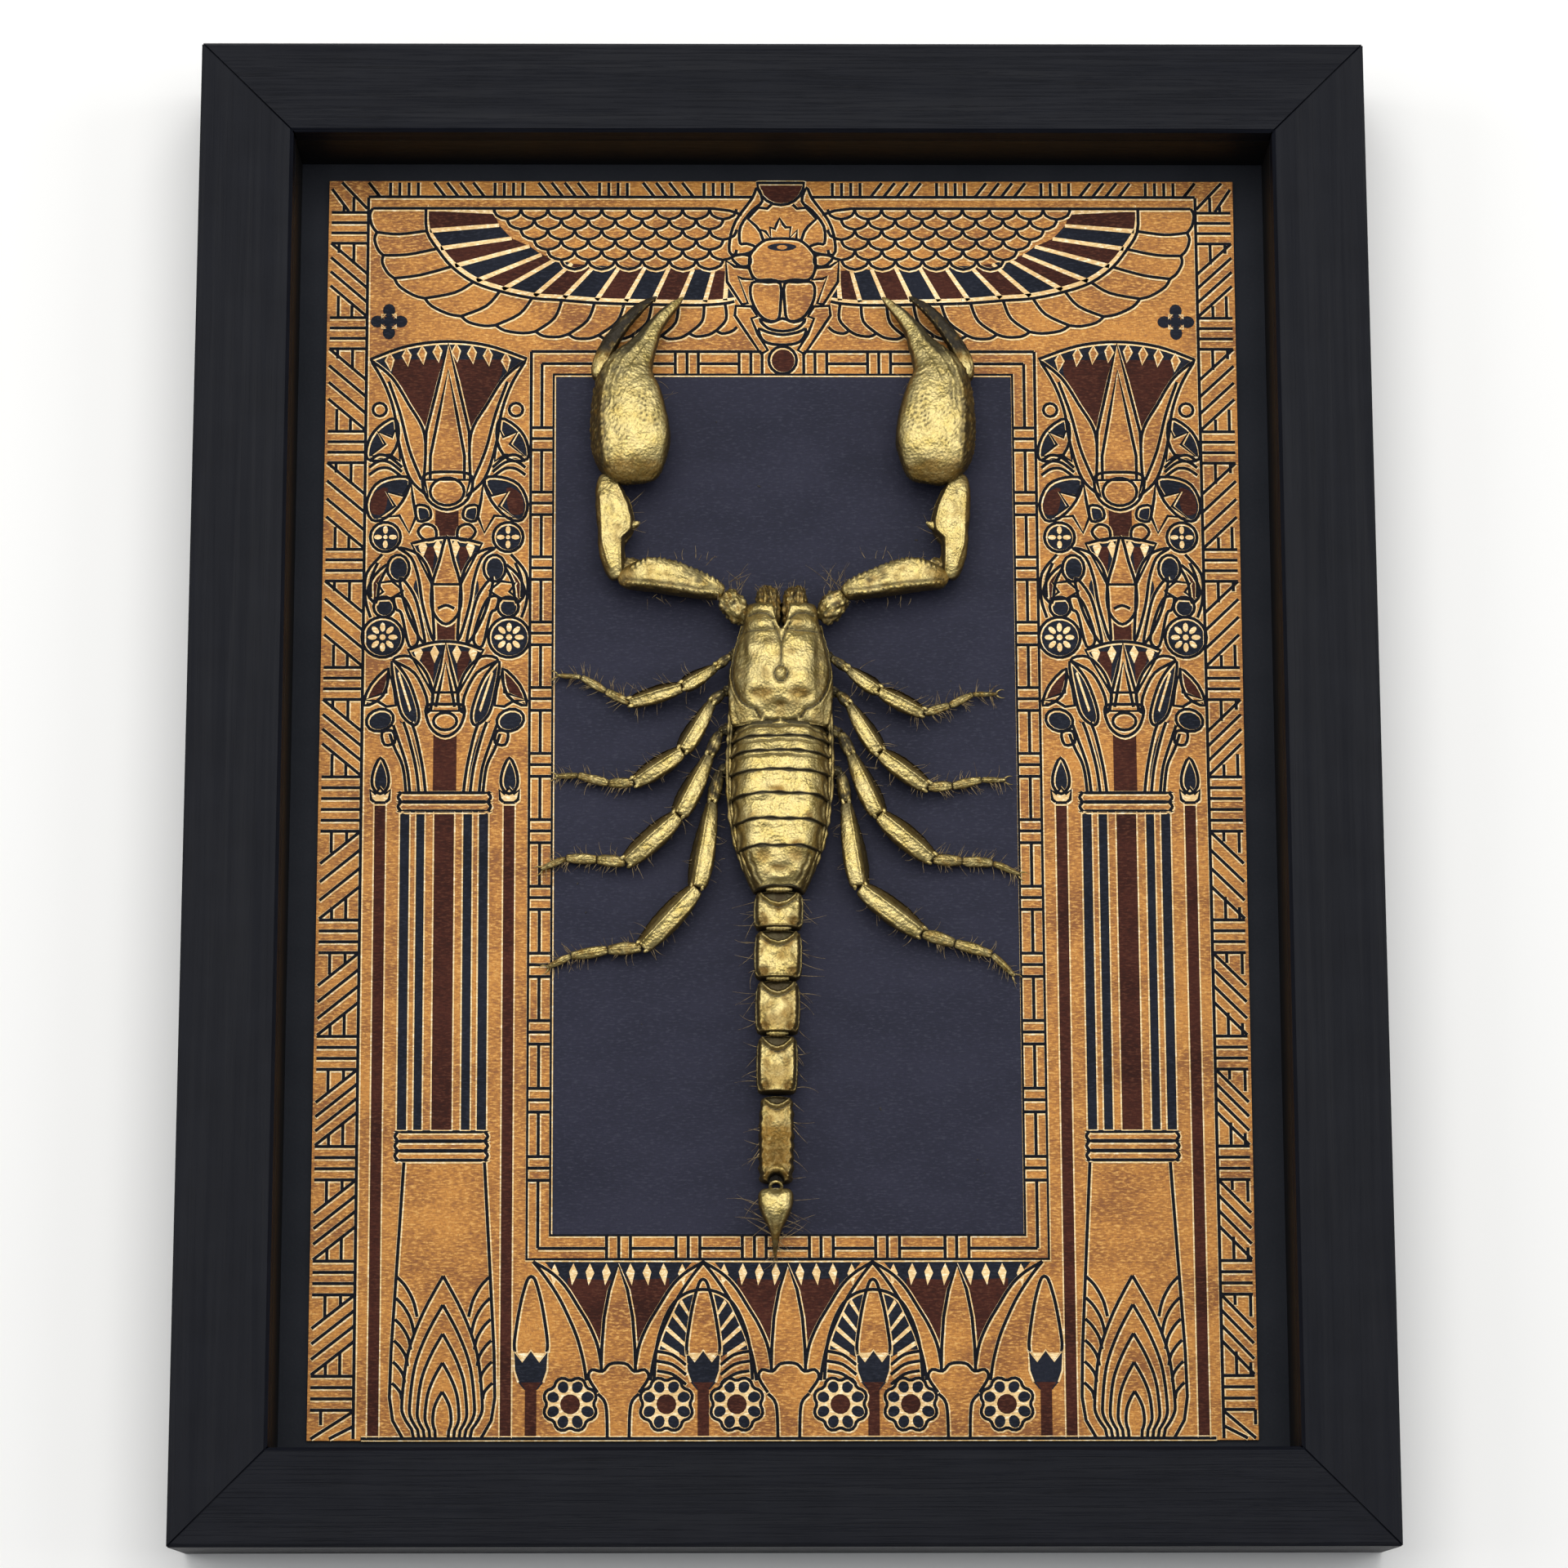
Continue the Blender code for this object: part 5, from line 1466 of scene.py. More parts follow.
CHELICERA = [(1.3, 28.8, 4.8, 1.6, 2.0), (1.6, 30.0, 5.3, 2.9, 3.6), (2.2, 32.2, 5.6, 4.2, 4.3),
             (2.5, 33.8, 5.4, 4.4, 4.2), (2.4, 35.0, 4.8, 3.8, 3.4),
             (2.1, 35.7, 4.2, 2.4, 2.0)]
FEMUR = [(10.8, 35.0, 4.6, 2.2, 3.2), (11.4, 35.2, 4.8, 3.2, 4.2), (13.0, 35.7, 5.1, 3.9, 4.8),
         (16.0, 36.5, 5.4, 4.9, 5.4), (19.0, 37.3, 5.6, 5.7, 5.8),
         (22.0, 38.0, 5.7, 6.2, 6.0), (24.8, 38.2, 5.6, 5.8, 5.8), (27.0, 37.8, 5.3, 4.6, 5.2), (28.7, 37.3, 4.9, 3.2,
                 4.0), (29.1, 37.2, 4.7, 2.0, 2.6)]
TROCHANTER = [(7.0, 30.0, 3.8, 3.0, 3.2), (8.0, 31.6, 4.6, 4.4, 4.6), (9.2, 33.2, 5.0, 4.6, 5.0),
              (10.8, 34.8, 4.8, 3.2, 3.8)]
PATELLA = [(29.2, 37.7, 4.4, 2.2, 3.4), (29.6, 38.5, 4.7, 3.8, 4.6), (30.4, 41.2, 4.9, 4.6, 5.4),
           (30.9, 44.0, 5.0, 4.7, 5.8), (30.4, 45.5, 5.0, 5.7, 6.0),
           (29.8, 47.2, 5.0, 7.2, 6.2), (30.1, 49.4, 5.0, 6.9, 6.4), (30.7, 52.0, 5.0, 6.0, 6.2), (31.3, 54.2, 4.9,
                   4.8, 5.6), (31.6, 55.8, 4.7, 3.6, 4.6),
           (31.7, 56.8, 4.6, 2.4, 3.4)]
JOINT_SKIN = [(29.8, 38.6, 4.0, 1.6, 2.4), (28.4, 40.0, 4.4, 2.8, 3.4), (26.8, 40.6, 4.3, 2.4, 3.0),
              (25.4, 40.3, 4.0, 1.0, 1.6)]
CHELA = [(25.8, 55.2, 4.8, 5.0, 4.2), (25.9, 56.0, 5.1, 8.2, 6.6), (26.3, 57.6, 5.5, 11.0, 8.8),
         (27.1, 60.0, 5.9, 13.6, 10.4), (27.3, 63.2, 6.0, 14.6, 11.0),
         (27.6, 66.6, 6.0, 14.0, 11.0), (27.9, 70.0, 5.8, 13.0, 10.4), (28.2, 73.6, 5.4, 11.5, 9.4), (27.6, 76.6, 5.0,
                 8.4, 8.0), (25.9, 79.2, 4.7, 5.8, 6.4),
         (24.6, 81.6, 4.4, 4.2, 5.0), (23.5, 84.2, 4.0, 3.0, 3.8), (21.6, 87.0, 3.5, 2.3, 2.8), (19.6, 89.0, 3.1, 1.6,
                 1.9), (17.9, 90.8, 2.8, 0.5, 0.6)]
FINGER = [(33.0, 74.4, 4.0, 2.6, 4.0), (33.2, 76.8, 4.1, 3.4, 4.4), (31.9, 80.4, 4.0, 3.0, 3.8),
          (29.6, 84.2, 3.7, 2.5, 3.2), (27.0, 87.5, 3.4, 2.1, 2.6),
          (24.9, 89.3, 3.1, 1.5, 1.8), (22.7, 90.9, 2.8, 0.5, 0.6)]
SPUR = [(28.2, 47.3, 5.4, 3.0, 2.6), (27.0, 47.2, 5.8, 2.2, 2.0), (26.1, 47.4, 6.0, 1.1, 1.1),
        (25.5, 47.8, 6.1, 0.3, 0.3)]


def limb_clay(name, stations, side, sides, levels, power=2.0):
    """A limb's skin, its sections squared, ready to be shaped."""
    placed = above_print(stations, side)
    clay = Clay(loft(name, limb_rings(placed), sides, levels), side)
    if power != 2.0:
        middle = np.array([station[:3] for station in placed])
        # The nearest point of the limb's middle line, in plan.
        best = np.full(len(clay.x), 1e9)
        base = np.zeros((len(clay.x), 3))
        size = np.zeros((len(clay.x), 2))
        for k in range(len(middle) - 1):
            a, b = middle[k], middle[k + 1]
            run = b - a
            share = np.clip(((clay.p - a) @ run) / (run @ run), 0, 1)
            at = a + share[:, None] * run
            away = np.linalg.norm(clay.p - at, axis=1)
            nearer = away < best
            best = np.where(nearer, away, best)
            base[nearer] = at[nearer]
            widths = np.array([placed[k][3:5], placed[k + 1][3:5]]) / 2
            size[nearer] = (widths[0] + (widths[1] - widths[0]) * share[:, None])[nearer]
        out = clay.p - base
        level = np.hypot(out[:, 0], out[:, 1]) / np.maximum(size[:, 0], 0.05)
        rise = np.abs(out[:, 2]) / np.maximum(size[:, 1], 0.05)
        angle = np.arctan2(rise, level)
        reach = (np.cos(angle) ** power + np.sin(angle) ** power) ** (-1 / power)
        clay.p[:] = base + out * reach[:, None]
    return clay


def make_upper_arm(side, word, finish):
    """The upper arm and the knob it turns on."""
    knob = limb_clay("trochanter", TROCHANTER, side, 16, 3, 2.4)
    knob.grain(0.9, 0.35)
    knob.swell(knob.cloud(1.2, 3.0), 0.3)
    knob.tint(ease(0.3 + knob.cloud(0.8, 1.0)), 0.9)
    knob.darken(ease(-0.1 + 2.0 * knob.cloud(1.0, 7.0)), 0.8)
    arm = limb_clay("femur", FEMUR, side, 20, 3, 2.8)
    reach = side * arm.x
    upper = [(12.0, 37.0), (15.0, 38.7), (18.5, 40.2), (21.5, 40.9), (24.4, 40.4), (27.0, 38.8)]
    lower = [(11.6, 34.4), (15.0, 34.4), (20.0, 35.2), (24.5, 35.7), (28.0, 36.2)]
    away = line_distance(reach, arm.y, upper)
    teeth = 0.55 + 0.45 * np.sin(2 * math.pi * reach / 0.95)
    arm.lift(bell(away, 0.5) * teeth, 0.55)
    arm.p[:, 1] += bell(away, 0.6) * teeth * 0.32
    away = line_distance(reach, arm.y, lower)
    arm.lift(bell(away, 0.35) * teeth, 0.5)
    # Painted shade in a band just inside the lower keel.
    arm.darken(bell(away - 0.8, 0.35) * (arm.y > np.interp(reach, [11, 28], [34.4, 36.2])), 0.55)
    arm.lift(np.exp(-(((reach - 20) / 5.5) ** 2) - ((arm.y - 38.0) / 1.2) ** 2), -0.35)
    arm.darken(ease(0.1 + 2.4 * arm.cloud(1.1, 11.0)) * ease((away - 0.6) / 0.6) * bell(reach - 15, 4.0), 0.7)
    arm.grain(0.75, 0.12, 0.5)
    arm.swell(arm.cloud(1.5, 6.0), 0.14)
    arm.tint(ease(0.2 + arm.cloud(1.5, 8.0)), 0.7)
    arm.tint(ease((reach - 25.5) / 2.0), 0.8)
    piece = join_as(f"palp_upper_arm_{word}", [arm.finish(), knob.finish()])
    place_piece(piece, finish, [f"palp_femur_{word}"])


def make_forearm(side, word, finish):
    """The forearm with its spur and the soft skin at its inner end."""
    fore = limb_clay("patella", PATELLA, side, 20, 3, 3.0)
    reach = side * fore.x
    keel = [(28.9, 39.0), (29.0, 42.0), (28.9, 44.6), (27.3, 46.2), (27.2, 48.0), (28.0, 51.0), (29.6, 54.4)]
    share = fore.near(keel, 0.35)
    fore.lift(share, 0.4)
    inside = ease((np.interp(fore.y, [p[1] for p in keel], [p[0] for p in keel]) - reach) / 0.8)
    fore.lift(inside, -1.3)
    fore.lift(fore.near([(31.0, 39.5), (32.2, 43.5), (32.5, 48.5), (32.7, 52.5)], 0.3), 0.3)
    fore.darken(fore.near([(30.6, 54.6), (31.2, 52.0), (30.4, 49.5)], 0.35) * ease(0.4 + fore.cloud(0.9)), 0.6)
    fore.grain(0.7, 0.12, 0.35 + inside * 0.6)
    fore.swell(fore.cloud(1.6, 2.0), 0.14)
    fore.tint(ease(0.15 + fore.cloud(1.6, 5.0)) * 0.6 + inside * 0.4)
    spur = limb_clay("spur", SPUR, side, 12, 2)
    spur.swell(spur.cloud(0.7), 0.15)
    skin = limb_clay("joint_skin", JOINT_SKIN, side, 14, 3)
    skin.grain(0.8, 0.3)
    skin.swell(skin.cloud(0.8, 4.0), 0.25)
    skin.darken(ease(0.2 + 2.0 * skin.cloud(0.8, 9.0)), 0.8)
    skin.tint(np.full(len(skin.x), 0.6))
    piece = join_as(f"palp_forearm_{word}", [fore.finish(), spur.finish(), skin.finish()])
    place_piece(piece, finish, [f"palp_patella_{word}"])


def make_hand(side, word, finish):
    """The hand and its fixed finger."""
    hand = limb_clay(f"palp_hand_{word}", CHELA, side, 24, 3, 4.0)
    reach, y = side * hand.x, hand.y.copy()
    outer = ease((reach - 32.4) / 1.4) * ease((80.5 - y) / 2.0)
    hand.lift(outer, -1.6)
    lines = [([(31.6, 57.6), (32.2, 62.0), (32.5, 67.0), (32.1, 71.5), (30.8, 76.0), (28.6, 80.0)], 0.32, 0.50),
             ([(33.1, 58.5), (33.6, 64.0), (33.6, 69.0), (33.0, 74.0)], 0.26, 0.42),
             ([(30.6, 68.0), (30.4, 73.0), (28.4, 77.5), (25.6, 81.5), (23.9, 84.6), (21.8, 87.4)], 0.30, 0.30),
             ([(28.2, 73.0), (26.6, 77.0), (24.4, 80.6)], 0.28, 0.24)]
    # Each ridge gets painted shade in the groove beside it.
    for points, width, height in lines:
        away = line_distance(reach, y, points)
        hand.lift(bell(away, width) * (0.75 + 0.25 * np.sin(2 * math.pi * y / 1.2)), height)
        hand.darken(bell(away - width * 1.6, width * 0.9) * ease(0.6 + hand.cloud(1.5,
                2.0)) * ease((reach - 27.0) / 3), 0.85)
    wrinkle = np.sin(2 * math.pi * (y + 0.5 * np.sin(reach * 1.1) + 0.9 * hand.cloud(3.0, 1.0)) / 0.95)
    hand.lift(wrinkle * ease((28.5 - reach) / 4.0) * ease((y - 61) / 4) * ease((80 - y) / 4), 0.09)
    hand.grain(0.72, 0.26, ease((reach - 26.0) / 4.0) * ease((y - 58) / 3) * 0.8 + 0.3)
    hand.grain(0.5, 0.10, ease((61.5 - y) / 3.0))
    hand.swell(hand.cloud(2.2, 3.0), 0.12)
    hand.tint(ease((59.4 - y + 1.4 * hand.cloud(2.0, 5.0)) / 2.2), 0.85)
    # Painted shade along the fixed finger's outer edge, next to the moving finger.
    line = np.interp(y, [76.0, 79.2, 81.6, 84.2, 87.0, 89.0], [29.4, 26.8, 25.0, 23.7, 21.8, 19.8])
    hand.darken(ease((reach - line) / 0.5) * ease((y - 76.0) / 3.0), 0.9)
    # The outer side is browned and darkened as painted shade.
    hand.tint(ease((reach - 31.2) / 1.4), 0.8)
    hand.shade_and_dark_shell(ease((reach - 31.4) / 1.0) * ease(0.80 + hand.cloud(1.6, 8.0)) * 0.88)
    hand.tint(ease((y - 87.0) / 3.0) * ease(0.4 + hand.cloud(1.2)), 0.8)
    hand.tint(ease(-0.2 + hand.cloud(2.0, 15.0)), 0.4)
    place_piece(hand.finish(), finish, [f"chela_{word}"])


def make_finger(side, word, finish):
    """The moving finger, with teeth along its inner edge."""
    finger = limb_clay(f"palp_finger_{word}", FINGER, side, 16, 3, 2.6)
    reach, y = side * finger.x, finger.y.copy()
    inner = [(32.0, 76.8), (30.6, 80.2), (28.5, 83.8), (26.2, 86.8), (24.5, 88.6), (23.0, 90.2)]
    away = line_distance(reach, y, inner)
    finger.lift(bell(away, 0.3) * (0.5 + 0.5 * np.sin(2 * math.pi * y / 0.8)), 0.5)
    outer_line = [(34.4, 77.4), (33.0, 81.2), (30.6, 84.9), (27.9, 88.2), (25.3, 90.0)]
    finger.line(outer_line, 0.3, 0.3)
    finger.darken(finger.near([(u + 0.75, v + 0.3) for u, v in inner], 0.45) * ease((y - 78.5) / 2), 0.8)
    finger.tint(ease((y - 76.5) / 2.5) * ease(0.9 + finger.cloud(1.0)), 0.95)
    finger.shade_and_dark_shell(ease((y - 78.0) / 2.5) * ease(1.2 + finger.cloud(0.8, 6.0)) * 0.97)
    finger.grain(0.5, 0.12, 0.7)
    finger.swell(finger.cloud(0.9), 0.12)
    place_piece(finger.finish(), finish, [f"finger_{word}"])


def make_chelicera(side, word, finish):
    jaw = limb_clay(f"scorpion_jaw_{word}", CHELICERA, side, 16, 3, 2.6)
    reach = side * jaw.x
    jaw.lift(bell(reach - 2.4 - 0.3 * np.sin(jaw.y * 2.0), 0.22), -0.5)
    jaw.lift(np.sin(2 * math.pi * reach / 0.9), 0.14)
    jaw.swell(jaw.cloud(0.9, 4.0), 0.30)
    jaw.grain(0.7, 0.2)
    jaw.shade_and_dark_shell(ease(0.45 + 1.6 * jaw.cloud(0.9, 2.0)) * 0.75)
    jaw.tint(ease(0.9 + jaw.cloud(0.8)), 0.9)
    jaw.p[:, 0] += axis_x(33.0)
    place_piece(jaw.finish(), finish, [f"chelicera_{word}"])


LEGS = {
    "leg_right_1": [(8.6, 23.2, 4.4), (11.4, 21.2, 4.6), (17.0, 17.2, 4.8), (25.0, 13.4, 3.2), (29.6, 15.0, 2.2),
                    (33.8, 17.1, 1.8), (38.3, 17.4, 1.2)],
    "leg_right_2": [(9.7, 17.0, 3.8), (11.7, 14.8, 4.2), (17.2, 6.0, 4.4), (25.6, 0.0, 3.0), (30.0, 0.4, 2.1),
                    (35.2, 1.6, 1.7), (39.6, 1.7, 1.1)],
    "leg_right_3": [(10.2, 9.8, 3.2), (12.0, 5.8, 3.8), (17.0, -5.2, 4.3), (26.4, -13.0, 3.0), (31.6, -13.2, 2.1),
                    (37.1, -13.4, 1.7), (42.0, -15.4, 1.1)],
    "leg_right_4": [(10.2, 2.8, 2.6), (11.1, -2.9, 3.4), (13.5, -18.2, 4.3), (24.4, -26.3, 3.0), (30.2, -27.9, 2.1),
                    (36.8, -29.8, 1.7), (40.8, -33.6, 1.1)],
    "leg_left_1": [(-9.4, 23.6, 4.4), (-12.0, 21.5, 4.6), (-18.0, 17.9, 4.8), (-27.4, 15.3, 3.2), (-31.6, 17.6, 2.2),
                   (-36.0, 20.3, 1.8), (-40.6, 20.8, 1.2)],
    "leg_left_2": [(-10.6, 17.2, 3.8), (-12.7, 15.2, 4.2), (-17.9, 6.3, 4.4), (-26.5, 0.8, 3.0), (-31.0, 0.9, 2.1),
                   (-36.5, 2.4, 1.7), (-40.6, 2.4, 1.1)],
    "leg_left_3": [(-11.3, 10.0, 3.2), (-13.1, 5.6, 3.8), (-18.6, -5.3, 4.3), (-27.9, -13.6, 3.0),
                   (-33.0, -12.9, 2.1), (-38.5, -12.6, 1.7), (-43.0, -14.4, 1.1)],
    "leg_left_4": [(-11.4, 3.0, 2.6), (-12.6, -2.7, 3.4), (-15.3, -18.4, 4.3), (-25.0, -28.8, 3.0),
                   (-31.0, -29.1, 2.1), (-37.5, -30.1, 1.7), (-41.8, -32.1, 1.1)],
}
LEG_PARTS = [  # widths along each part, and how thick it is for its width
    ("trochanter", (1.4, 2.1, 2.3, 1.9), 1.0),
    ("femur", (2.1, 3.0, 3.6, 4.0, 4.2, 3.4), 0.85),
    ("patella", (2.9, 4.0, 4.3, 4.3, 4.0, 3.0), 0.80),
    ("tibia", (1.5, 2.1, 2.2, 2.0, 1.6), 0.85),
    ("basitarsus", (1.5, 1.95, 1.9, 1.7, 1.4), 0.85),
    ("tarsus", (1.0, 1.25, 1.2, 1.0, 0.7), 0.9),
]
LEG_BULK = {"1": 0.80, "2": 0.93, "3": 1.05, "4": 1.10}


def make_leg_part(number, part, start, end, widths, thick):
    """One part of a leg and the knuckles at its outer end."""
    parts = []
    run = end - start
    stations = []
    inner = [(0.07 + 0.86 * k / (len(widths) - 1), width) for k, width in enumerate(widths)]
    for share, width in [(0.0, widths[0] * 0.66), (0.025, widths[0] * 0.9)] + inner + [(0.975, widths[-1] * 0.93),
            (1.0, widths[-1] * 0.7)]:
        spot = start + run * share
        stations.append((spot.x, spot.y, spot.z, width, width * thick))
    level = 3 if part in ("femur", "patella") else 2
    clay = limb_clay(part, stations, 1, 14, level, 2.7)
    flat = Vector((run.x, run.y)).normalized()
    across = Vector((-flat.y, flat.x)) * (1 if flat.x >= 0 else -1)  # points to the picture's top
    aside = (clay.x - start.x) * across.x + (clay.y - start.y) * across.y
    along = (clay.x - start.x) * flat.x + (clay.y - start.y) * flat.y
    length = Vector((run.x, run.y)).length
    wide = max(widths) / 2
    if part in ("femur", "patella"):
        # A flat lit face, a keel along its upper edge and a steep side above it, browned and darkened there as
        # painted shade.
        clay.lift(ease((aside - 0.15 * wide) / (0.9 * wide)), -1.5)
        ridge = bell(aside - 0.2 * wide, 0.28)
        clay.lift(ridge * (0.8 + 0.2 * np.sin(along * 9)), 0.30)
        clay.lift(bell(aside + 0.78 * wide, 0.25), 0.18)
        clay.tint(ease((aside - 0.3 * wide) / 0.6) * 0.8)
        clay.shade_and_dark_shell(ease((aside - 0.38 * wide) / 0.4) * (0.85 if part == "femur" else 0.6))
        clay.tint(bell(aside + 0.8 * wide, 0.5) * ease(0.3 + clay.cloud(1.6, 2.0)), 0.6)
    else:
        clay.lift(bell(aside, 0.2) * (0.6 + 0.4 * np.sin(along * 8)), 0.22)
        clay.tint(ease(0.35 + clay.cloud(0.9, 4.0)), 0.8)
        clay.darken(ease(-0.15 + 1.8 * clay.cloud(0.8, 6.0 + number)), 0.6)
    # The knob next to the body is dark: its own dark shell and painted shade.
    if part == "trochanter":
        clay.shade_and_dark_shell(ease(0.75 + 1.5 * clay.cloud(1.1, 2.0)) * 0.92)
    # Painted shade on the femur's inner end, near the body.
    if part == "femur":
        clay.shade_and_dark_shell(ease(1 - along / (0.3 * length)) * 0.75)
    # So is the hip: its own dark shell and painted shade.
    if part == "hip":
        clay.grain(0.8, 0.3)
        clay.shade_and_dark_shell(ease(1.0 + clay.cloud(0.9)) * 0.92)
    clay.darken(ease((0.35 - along) / 0.3) + ease((along - length + 0.35) / 0.3), 0.8)
    clay.swell(clay.cloud(0.9, 1.0 + number), 0.09)
    clay.grain(0.5, 0.06, 1.0)
    parts.append(clay.finish(0.10))
    # Two small knuckles at the outer end of the long parts.
    if part in ("trochanter", "femur", "patella"):
        for way in (-1, 1):
            spot = Vector((end.x, end.y)) + across * way * wide * 0.42 - flat * 0.2
            knuckle = [(spot.x + flat.x * d, spot.y + flat.y * d, end.z + 0.75 - abs(d) * 0.3, size, size)
                       for d, size in ((-0.7, 0.3), (-0.35, 0.8), (0.05, 0.95), (0.45, 0.75), (0.75, 0.25))]
            bump = limb_clay("knuckle", knuckle, 1, 8, 2)
            bump.swell(bump.cloud(0.5, 2.0), 0.1)
            parts.append(bump.finish())
    return parts


def make_claws(joints):
    """The two claws at a leg's tip."""
    claws = []
    tip = Vector(joints[-1])
    flat = (tip - Vector(joints[-2])).normalized()
    across = Vector((-flat.y, flat.x, 0))
    for way in (-1, 1):
        hook = []
        for k in range(5):
            t = k / 4
            spot = tip - flat * 0.3 + flat * (1.6 * t) + across * way * (0.25 + 0.55 * math.sin(t * 2.2))
            hook.append((spot.x, spot.y, tip.z - 0.35 * t * t, 0.42 - 0.34 * t, 0.42 - 0.34 * t))
        claw = limb_clay("claw", hook, 1, 8, 1)
        claw.tint(np.full(len(claw.x), 0.4))
        claws.append(claw.finish())
    return claws


def make_leg(name, joints, finish):
    parts = []
    side = 1 if joints[0][0] > 0 else -1
    # The hip, from under the body to the first joint.
    hip = Vector(joints[0])
    root = Vector((axis_x(hip.y) + side * 6.6, hip.y + 1.4, 2.0))
    bulk = LEG_BULK[name[-1]]
    runs = [("hip", root, hip, (1.5, 2.0, 2.0, 1.5), 0.9)]
    for (start, end), (part, widths, thick) in zip(zip(joints, joints[1:]), LEG_PARTS):
        runs.append((part, Vector(start), Vector(end), [width * bulk for width in widths], thick))
    for number, run in enumerate(runs):
        parts += make_leg_part(number, *run)
    parts += make_claws(joints)
    place_piece(join_as(name + "_shell", parts), finish, [name])


ARM_TUFTS = [  # how many, where across, along and up, the turn they scatter round, how long and how thick
    (9, (13.0, 25.0), (39.4, 40.8), 7.6, 90, 25, (1.0, 2.6), 0.06),
    (10, (11.0, 25.0), (33.9, 35.4), 4.5, -90, 28, (0.8, 2.2), 0.05),
]
HAND_TUFTS = [  # the same, with the turns that they lie between
    (7, (26.6, 28.4), (45.0, 52.0), 6.0, (40, 120), (1.2, 3.6), 0.05),
    (8, (21.0, 24.0), (70.0, 78.0), 5.0, (60, 110), (0.8, 4.0), 0.045),
    (10, (24.0, 33.0), (81.0, 91.0), 4.0, (-30, 60), (0.6, 1.6), 0.045),
]


def make_bristles(finish):
    """Stiff hairs on legs, arms, jaws, tail and bulb."""
    rng = np.random.default_rng(41)
    draw = rng.uniform
    hairs = []

    def hair(x, y, z, turn, length, thick=0.055, rise=0.25, bend=0.5):
        """One bristle from (x, y, z above the print), leaving at turn degrees in plan."""
        heading = math.radians(turn)
        curl = rng.normal(0, bend)
        points, spot = [], Vector((x, y, z))
        steps = 5
        for k in range(steps + 1):
            points.append((spot.copy(), thick * (1.0 - 0.75 * k / steps)))
            spot = spot + Vector((math.cos(heading), math.sin(heading), rise * (1 - k / steps))) * (length / steps)
            heading += curl / steps
        hairs.append(points)

    for joints in LEGS.values():
        side = 1 if joints[0][0] > 0 else -1
        for number, (start, end) in enumerate(zip(joints[1:], joints[2:])):
            start, end = Vector(start), Vector(end)
            run = end - start
            heading = math.degrees(math.atan2(run.y, run.x))
            width = (1.7, 1.8, 1.1, 0.95, 0.6)[number]
            count = (9, 14, 15, 16, 14)[number]
            for k in range(count):
                way = -1 if rng.random() < 0.6 else 1
                spot = start + run * draw(0.08, 0.98)
                angle = heading + way * side * draw(38, 85)
                out = Vector((math.cos(math.radians(angle)), math.sin(math.radians(angle)), 0)) * width * 0.8
                hair(spot.x + out.x, spot.y + out.y, spot.z + 0.1, angle,
                     draw(0.9, 2.6) * (1.2 if number < 2 else 1.0), 0.06)
    for side in (-1, 1):
        for k in range(30):
            turn = 90 - side * draw(-60, 75)
            hair(axis_x(34) + side * draw(0.2, 4.4), draw(33.6, 35.4), draw(4.0, 6.5), turn, draw(0.7, 2.0), 0.06)
        for k in range(22):
            turn = 90 - side * draw(-70, 60)
            hair(side * draw(7.6, 12.0), draw(33.0, 37.0), draw(4.5, 7.0), turn, draw(1.2, 4.6), 0.055)
        for count, xs, ys, high, heading, spread, lengths, thick in ARM_TUFTS:
            for k in range(count):
                x, y = side * draw(*xs), draw(*ys)
                hair(x, y, high, heading + rng.normal(0, spread), draw(*lengths), thick)
        for count, xs, ys, high, turns, lengths, thick in HAND_TUFTS:
            for k in range(count):
                x, y = side * draw(*xs), draw(*ys)
                hair(x, y, high, 90 + side * draw(*turns), draw(*lengths), thick)
        for k in range(14):
            y = draw(-16.0, 16.0)
            hair(axis_x(y) + side * 9.6, y, draw(3.0, 5.0), 90 - side * draw(70, 125), draw(0.7, 1.8), 0.045)
        for front, rear, half, *_ in TAIL_SEGMENTS:
            for k in range(6 if half > 3.5 else 9):
                y = draw(rear + 0.4, front - 1.2)
                turn = 90 - side * draw(75, 150)
                hair(axis_x(y) + side * half * 0.96, y, draw(4.0, 6.8), turn, draw(1.2, 4.4), 0.060, 0.1, 0.35)
        for k in range(12):
            y = draw(-82.0, -72.5)
            turn = 90 - side * draw(55, 140)
            wide = float(np.interp(-y, [72, 74, 78, 82], [2.0, 2.7, 1.0, 0.5]))
            hair(axis_x(y) + side * wide, y, draw(3.0, 5.5), turn, draw(2.0, 7.6), 0.062, 0.05, 0.3)
    for k in range(26):
        turn = -90 + rng.normal(0, 42)
        hair(axis_x(-80) + rng.normal(0, 0.7), draw(-84.0, -78.0), draw(2.0, 4.0), turn, draw(1.0, 3.6), 0.05, 0.0,
             0.4)

    lines = [([(place.x, place.y, PRINT_TOP + max(place.z, 0.35), radius) for place, radius in points],
              False) for points in hairs]
    piece = make_curve("scorpion_bristles", lines, 1.0)
    select_only([piece])
    bpy.ops.object.convert(target="MESH")
    place_piece(piece, finish)


